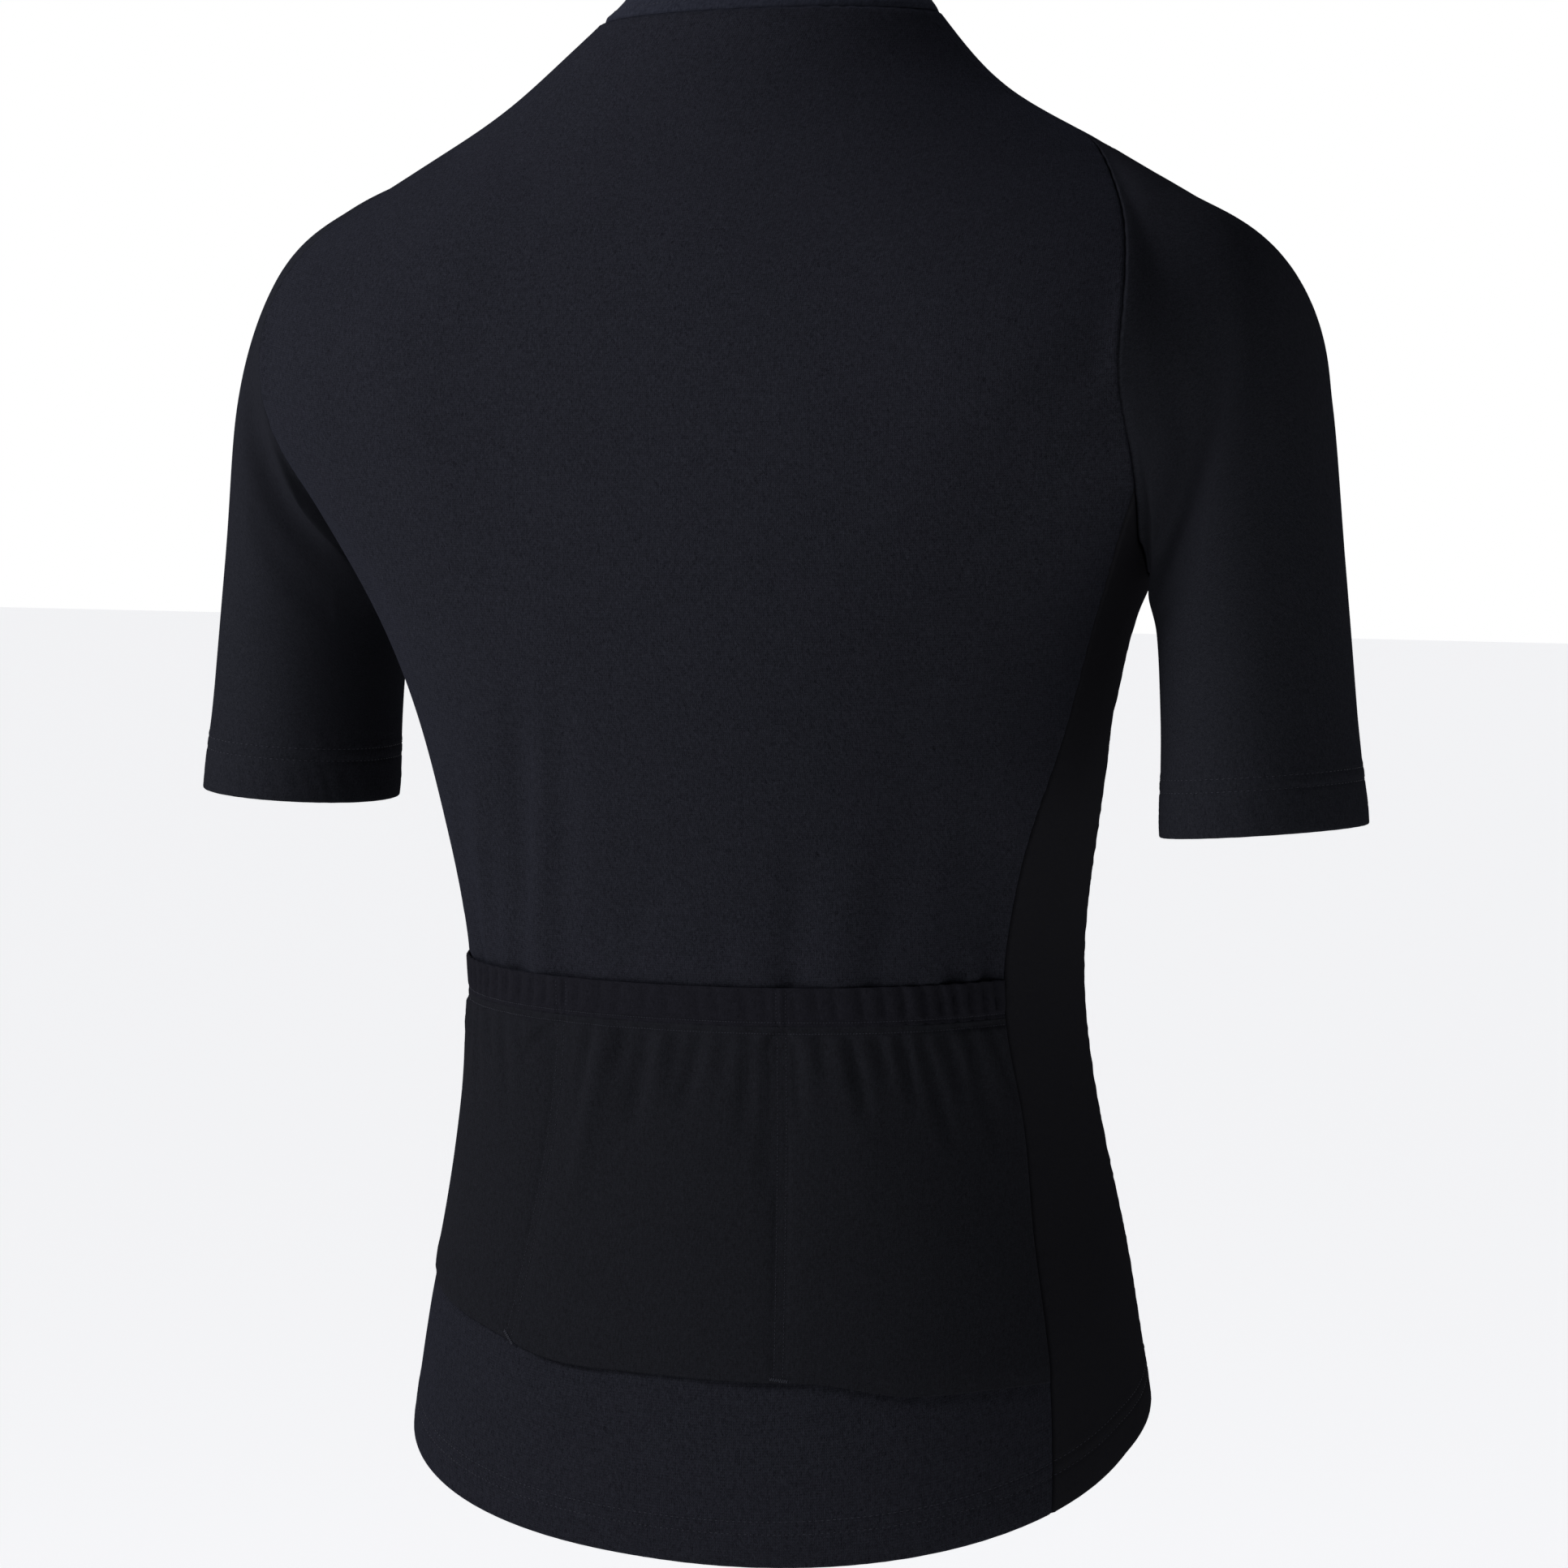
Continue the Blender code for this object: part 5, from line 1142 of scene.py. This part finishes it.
middle, normal, edge, edge_normal, cloth = zip_rows()
tape_length = length_along(middle)
slider_at = tape_length[-1] - (COLLAR_HEIGHT - SLIDER_HEIGHT)
for side, word in ((1, "left"), (-1, "right")):
    face = -(cloth + TAPE_GAP)[:, None]
    gap = 0.0010 * ease((tape_length - slider_at) / 0.004)[:, None]
    columns = [middle + np.array([1.0, 0, 0]) * (x + gap) + normal * (face + raised)
               for x, raised in TAPE_RIB]
    inner, outer = columns[-1], edge + edge_normal * face
    columns += [inner + (outer - inner) * share for share in (0.25, 0.5, 0.75, 0.9, 1.0)]
    grid = np.stack(columns, 1) * np.array([side, 1, 1])
    across = np.array([0.6, 1.2, 1.8, 2.4, 3.4, 4.4, 6.3, 8.2, 10.1, 11.2, 12.0]) / 1000
    pattern = flat_pattern(across[None, :], tape_length[:, None])
    if side < 0:
        grid, pattern = grid[:, ::-1], pattern[:, ::-1]
    tape = grid_piece("zip_tape_" + word, grid, pattern, TAPE_WEAVE, ZIP_TAPE)
    keep(tape, "zip")


# ---- what repeats: stitches and teeth
def marks(name, places, ways, outs):
    """A mesh of single points, each with its direction along the row and out of the cloth."""
    mesh = bpy.data.meshes.new(name)
    mesh.from_pydata(places.tolist(), [], [])
    for attribute, values in (("along", ways), ("outward", outs)):
        layer = mesh.attributes.new(attribute, "FLOAT_VECTOR", "POINT")
        layer.data.foreach_set("vector", np.asarray(values, np.float32).reshape(-1))
    return placed(name, mesh)


def repeat_tree(name, shape, sizes, material):
    """Puts a shape on every marked point, turned along its row, with a little unevenness."""
    tree = bpy.data.node_groups.new(name, "GeometryNodeTree")
    for label, kind, way in (("Marks", "Geometry", "INPUT"), *((label, "Float", "INPUT")
                             for label in sizes), ("Seed", "Int", "INPUT"),
                             ("Pieces", "Geometry", "OUTPUT")):
        socket = tree.interface.new_socket(label, in_out=way, socket_type="NodeSocket" + kind)
        if kind != "Geometry":
            socket.default_value = sizes.get(label, 5)
    given, result = add(tree, "NodeGroupInput"), add(tree, "NodeGroupOutput")
    size = add(tree, "ShaderNodeCombineXYZ", {0: given.outputs["Length"],
                                              1: given.outputs["Width"],
                                              2: given.outputs["Height"]})
    if shape == "stitch":
        form = add(tree, "GeometryNodeMeshUVSphere", {"Segments": 6, "Rings": 4, "Radius": 0.5})
    else:
        form = add(tree, "GeometryNodeMeshCylinder", {"Vertices": 8, "Side Segments": 1,
                                                      "Radius": 0.5, "Depth": 1.0})
    sized = add(tree, "GeometryNodeTransform", {"Geometry": form.outputs["Mesh"],
                                                "Scale": size.outputs[0]})
    way, out = (add(tree, "GeometryNodeInputNamedAttribute", {"Name": name},
                    data_type="FLOAT_VECTOR") for name in ("along", "outward"))
    turned = add(tree, "FunctionNodeAxesToRotation",
                 {"Primary Axis": out.outputs[0], "Secondary Axis": way.outputs[0]},
                 primary_axis="Z", secondary_axis="X")
    uneven = add(tree, "FunctionNodeRandomValue", {2: given.outputs["Smallest"], 3: 1.0,
                                                   "Seed": given.outputs["Seed"]},
                 data_type="FLOAT")
    spread = add(tree, "GeometryNodeInstanceOnPoints",
                 {"Points": given.outputs["Marks"], "Instance": sized.outputs[0],
                  "Rotation": turned.outputs[0], "Scale": uneven.outputs[1]})
    real = add(tree, "GeometryNodeRealizeInstances", {0: spread.outputs[0]})
    dressed = add(tree, "GeometryNodeSetMaterial", {"Geometry": real.outputs[0],
                                                    "Material": material})
    smooth = add(tree, "GeometryNodeSetShadeSmooth", {"Geometry": dressed.outputs[0],
                                                      "Shade Smooth": shape == "stitch"})
    tree.links.new(smooth.outputs[0], result.inputs[0])
    return tree


def repeat(name, places, ways, outs, tree, **sizes):
    piece = marks(name, places, ways, outs)
    maker = piece.modifiers.new("repeat", "NODES")
    maker.node_group = tree
    for item in tree.interface.items_tree:
        if item.in_out == "INPUT" and item.name in sizes:
            maker[item.identifier] = sizes[item.name]
    mesh = mesh_of(piece)
    piece.modifiers.clear()
    piece.data = mesh
    return piece


STITCH_TREE = repeat_tree("lockstitch", "stitch", {"Length": 0.0018, "Width": THREAD,
                                                   "Height": THREAD, "Smallest": 0.82},
                          THREAD_FINISH)
TOOTH_TREE = repeat_tree("moulded_tooth", "tooth", {"Length": 0.0030, "Width": 0.0012,
                                                    "Height": 0.0021, "Smallest": 1.0},
                         TOOTH_FINISH)


SEWING = (                # name, rows, stitch length and width, slot
    ("hem_stitches", hem_sewing, 0.0017, THREAD, "textured_back_knit"),
    ("cuff_stitches_left", cuff_sewing["left"], 0.0017, THREAD, "brushed_sleeve_knit"),
    ("cuff_stitches_right", cuff_sewing["right"], 0.0017, THREAD, "brushed_sleeve_knit"),
    ("pocket_row_stitches", band_sewing, 0.0009, 0.00036, "smooth_pocket_knit"),
    ("divider_stitches", divider_sewing, 0.0010, 0.00034, "smooth_pocket_knit"),
    ("tack_stitches", tack_sewing, 0.0020, 0.00042, "smooth_pocket_knit"),
    ("front_edge_stitches", front_sewing, 0.0017, THREAD, "textured_back_knit"),
    ("collar_stitches", collar_sewing, 0.0017, THREAD, "heathered_collar_knit"),
)
for name, rows, length, width, slot in SEWING:
    places, ways, outs = (np.concatenate([row[k] for row in rows]) for k in range(3))
    keep(repeat(name, places + 0.00008 * outs, ways, outs, STITCH_TREE, Length=length,
                Width=width, Height=width * 0.8), None)

# teeth
heights = np.arange(0.004, tape_length[-1] - 0.004, TOOTH_PITCH / 2)
heights = heights[np.abs(heights - slider_at) > 0.0040]
on_left = np.arange(len(heights)) % 2 == 0
centre = values_at(heights, tape_length, middle)
out = unit(values_at(heights, tape_length, normal))
sideways = np.where(on_left, 1.0, -1.0)[:, None] * np.array([1.0, 0, 0])
apart = (0.0009 + 0.0010 * ease((heights - slider_at) / 0.004))[:, None]
teeth = repeat("zip_teeth", centre + sideways * apart - out * 0.00095, sideways, out, TOOTH_TREE,
               Width=0.0011)
keep(teeth, "zip")


# ---- slider and pull
def rounded(outline, radius, count=5):
    """The corners of an outline, each turned into a short arc."""
    points = [np.array(p, float) for p in outline]
    result = []
    for before, corner, after in zip(points[-1:] + points[:-1], points, points[1:] + points[:1]):
        a, b = unit(before - corner), unit(after - corner)
        reach = min(radius, 0.45 * np.linalg.norm(before - corner),
                    0.45 * np.linalg.norm(after - corner))
        for t in np.linspace(0, 1, count):
            result.append((1 - t) ** 2 * (corner + a * reach) + 2 * t * (1 - t) * corner
                          + t ** 2 * (corner + b * reach))
    return result


def metal(name, curve, lines, place):
    """The lacquered solid of a curve through some lines, moved to its place."""
    for line in lines:
        spline = curve.splines.new("POLY")
        spline.points.add(len(line) - 1)
        for point, at in zip(spline.points, line):
            point.co = (*at, 1)
        spline.use_cyclic_u = curve.dimensions == "2D"
    source = placed(name, curve)
    mesh = mesh_of(source)
    bpy.data.objects.remove(source)
    mesh.transform(place)
    mesh.materials.clear()
    mesh.materials.append(LACQUER)
    return placed(name, mesh)


def stamped(name, outlines, low, high, frame, edge):
    """A flat metal part cut to outlines, the first one its rim and the others its holes."""
    curve = bpy.data.curves.new(name, "CURVE")
    curve.dimensions, curve.fill_mode = "2D", "BOTH"
    curve.extrude, curve.bevel_depth, curve.bevel_resolution = (high - low) / 2 - edge, edge, 2
    curve.offset = -edge
    return metal(name, curve, [[(*at, 0) for at in line] for line in outlines],
                 frame @ Matrix.Translation((0, 0, (low + high) / 2)))


def bar(name, path, radius, frame, wide=1.0):
    """A round bar swept along a path, its ends closed."""
    curve = bpy.data.curves.new(name, "CURVE")
    curve.dimensions, curve.bevel_depth, curve.bevel_resolution = "3D", radius, 3
    curve.use_fill_caps = True
    piece = metal(name, curve, [path], frame @ Matrix.Diagonal((wide, 1, 1, 1)))
    piece.data.shade_smooth()
    return piece


def rail(side):
    outline = [(side * x, y) for x, y in ((0.0029, -0.0045), (0.0034, -0.0043),
                                          (0.0035, 0.0042), (0.0030, 0.0044))]
    return rounded(outline[::side], 0.0002)


SHIELD = rounded(((-0.0030, -0.0050), (0.0030, -0.0050), (0.0034, -0.0010), (0.0036, 0.0046),
                  (0.0014, 0.0050), (0.0, 0.0036), (-0.0014, 0.0050), (-0.0036, 0.0046),
                  (-0.0034, -0.0010)), 0.0009)
WEDGE = rounded(((-0.0009, 0.0040), (0.0, 0.0011), (0.0009, 0.0040)), 0.0004)
TAB = rounded(((-0.0020, 0.0005), (-0.0020, -0.0060), (-0.0017, -0.0100), (-0.0021, -0.0165),
               (-0.0014, -0.0180), (0.0014, -0.0180), (0.0021, -0.0165), (0.0017, -0.0100),
               (0.0020, -0.0060), (0.0020, 0.0005)), 0.0010)
WINDOW = rounded(((-0.0011, -0.0006), (-0.0011, -0.0040), (0.0011, -0.0040), (0.0011, -0.0006)),
                 0.0004)
at_slider = slider_frame()
at_pull = at_slider @ Matrix.Translation((0, 0, 0.00245))      # the pull's hinge in the arch
SLIDER_PLATES = (         # name, outline, low, high, edge
    ("slider_top_plate", SHIELD, 0.0005, 0.0016, 0.00022),
    ("slider_rear_plate", SHIELD, -0.0048, -0.0037, 0.00022),
    ("slider_wedge", WEDGE, -0.0040, 0.0008, 0.0001),
    ("slider_rail_left", rail(1), -0.0021, 0.0008, 0.0001),
    ("slider_rail_right", rail(-1), -0.0021, 0.0008, 0.0001),
)
for name, outline, low, high, edge in SLIDER_PLATES:
    keep(stamped(name, [outline], low, high, at_slider, edge), "zip_slider")
arch = [(0, 0.0029 * math.cos(a), 0.0013 + 0.0026 * math.sin(a) ** 0.7)
        for a in np.linspace(0, math.pi, 17)]
keep(bar("slider_arch", arch, 0.00048, at_slider, 1.15), "zip_slider")
pull = [stamped("pull_tab", [TAB, WINDOW], -0.0005, 0.0005, at_pull, 0.00018)]
for k, y in enumerate((-0.0125, -0.0138, -0.0151)):
    rib = [(x, y, 0.00046) for x in (-0.0012, -0.0004, 0.0004, 0.0012)]
    pull.append(bar("pull_grip_%d" % k, rib, 0.00018, at_pull))
for piece in pull:
    keep(piece, "zip_pull", body="zip_pull")

# ---- the studio
# Azimuth of the camera's place past straight behind, its distance, height and downward tilt.
CAMERA_TURN, CAMERA_AWAY, CAMERA_HEIGHT, CAMERA_TILT = 29.647, 2.588, -0.1652, 2.98
FLOOR = -1.45


def make_camera():
    turn, tilt = math.radians(CAMERA_TURN), math.radians(CAMERA_TILT)
    data = bpy.data.cameras.new("camera")
    data.lens, data.sensor_width = 135.31, 36.0
    data.shift_x, data.shift_y = 0.0161, -0.06
    data.clip_end = 60
    camera = placed("camera", data)
    camera.location = (-CAMERA_AWAY * math.sin(turn), CAMERA_AWAY * math.cos(turn), CAMERA_HEIGHT)
    camera.rotation_euler = (math.pi / 2 - tilt, 0, math.pi + turn)
    bpy.context.scene.camera = camera


def make_sun(name, turn, height, strength, spread, colour):
    """Light from a turn round the jersey, 0 being straight behind it, and a height, in degrees."""
    data = bpy.data.lights.new(name, "SUN")
    data.energy, data.angle, data.color = strength, math.radians(spread), linear(colour)[:3]
    light = placed(name, data)
    light.rotation_euler = (math.pi / 2 - math.radians(height), 0, math.pi + math.radians(turn))
    light.location = (0, 0, 2)


def make_softbox(place, aim, power, size, colour):
    """A square soft light at a place, turned to face a point."""
    data = bpy.data.lights.new("softbox", "AREA")
    data.energy, data.size, data.color = power, size, linear(colour)[:3]
    light = placed("softbox", data)
    light.location = place
    light.rotation_euler = (Vector(aim) - Vector(place)).to_track_quat("-Z", "Y").to_euler()
    light.visible_camera = False


def make_studio():
    """A pale floor, an even white surround and soft light, mostly from the jersey's left behind."""
    make_softbox((1.05, 1.15, 0.78), (0.0, 0.0, -0.15), 34.0, 0.8, "#f8f7ff")
    make_sun("side", -50.0, 5.0, 0.6, 140, "#fafcff")
    make_sun("front", 190.0, 40.0, 0.6, 60, "#fbfbff")
    world = bpy.context.scene.world = bpy.data.worlds.new("studio")
    world.use_nodes = True
    tree = world.node_tree
    tree.nodes.clear()
    seen = add(tree, "ShaderNodeLightPath")
    white = add(tree, "ShaderNodeBackground", {"Color": (1, 1, 1, 1), "Strength": 1.0})
    soft = add(tree, "ShaderNodeBackground", {"Color": linear("#eef1ff"), "Strength": 0.10})
    mixed = add(tree, "ShaderNodeMixShader", {0: seen.outputs["Is Camera Ray"],
                                              1: soft.outputs[0], 2: white.outputs[0]})
    add(tree, "ShaderNodeOutputWorld", {"Surface": mixed.outputs[0]}, is_active_output=True)
    mesh = bpy.data.meshes.new("floor")
    mesh.from_pydata([(x, y, FLOOR) for x, y in ((-25, -25), (25, -25), (25, 25), (-25, 25))], [],
                     [(0, 1, 2, 3)])
    material, _, _ = finish("matt_white_studio_floor", Base_Color=linear("#fbfbfb"),
                            Roughness=0.9, Specular_IOR_Level=0.2,
                            Emission_Color=linear("#ffffff"), Emission_Strength=0.62)
    mesh.materials.append(material)
    placed("floor", mesh)
    view = bpy.context.scene.view_settings
    view.view_transform, view.look = "Standard", "None"


make_camera()
make_studio()
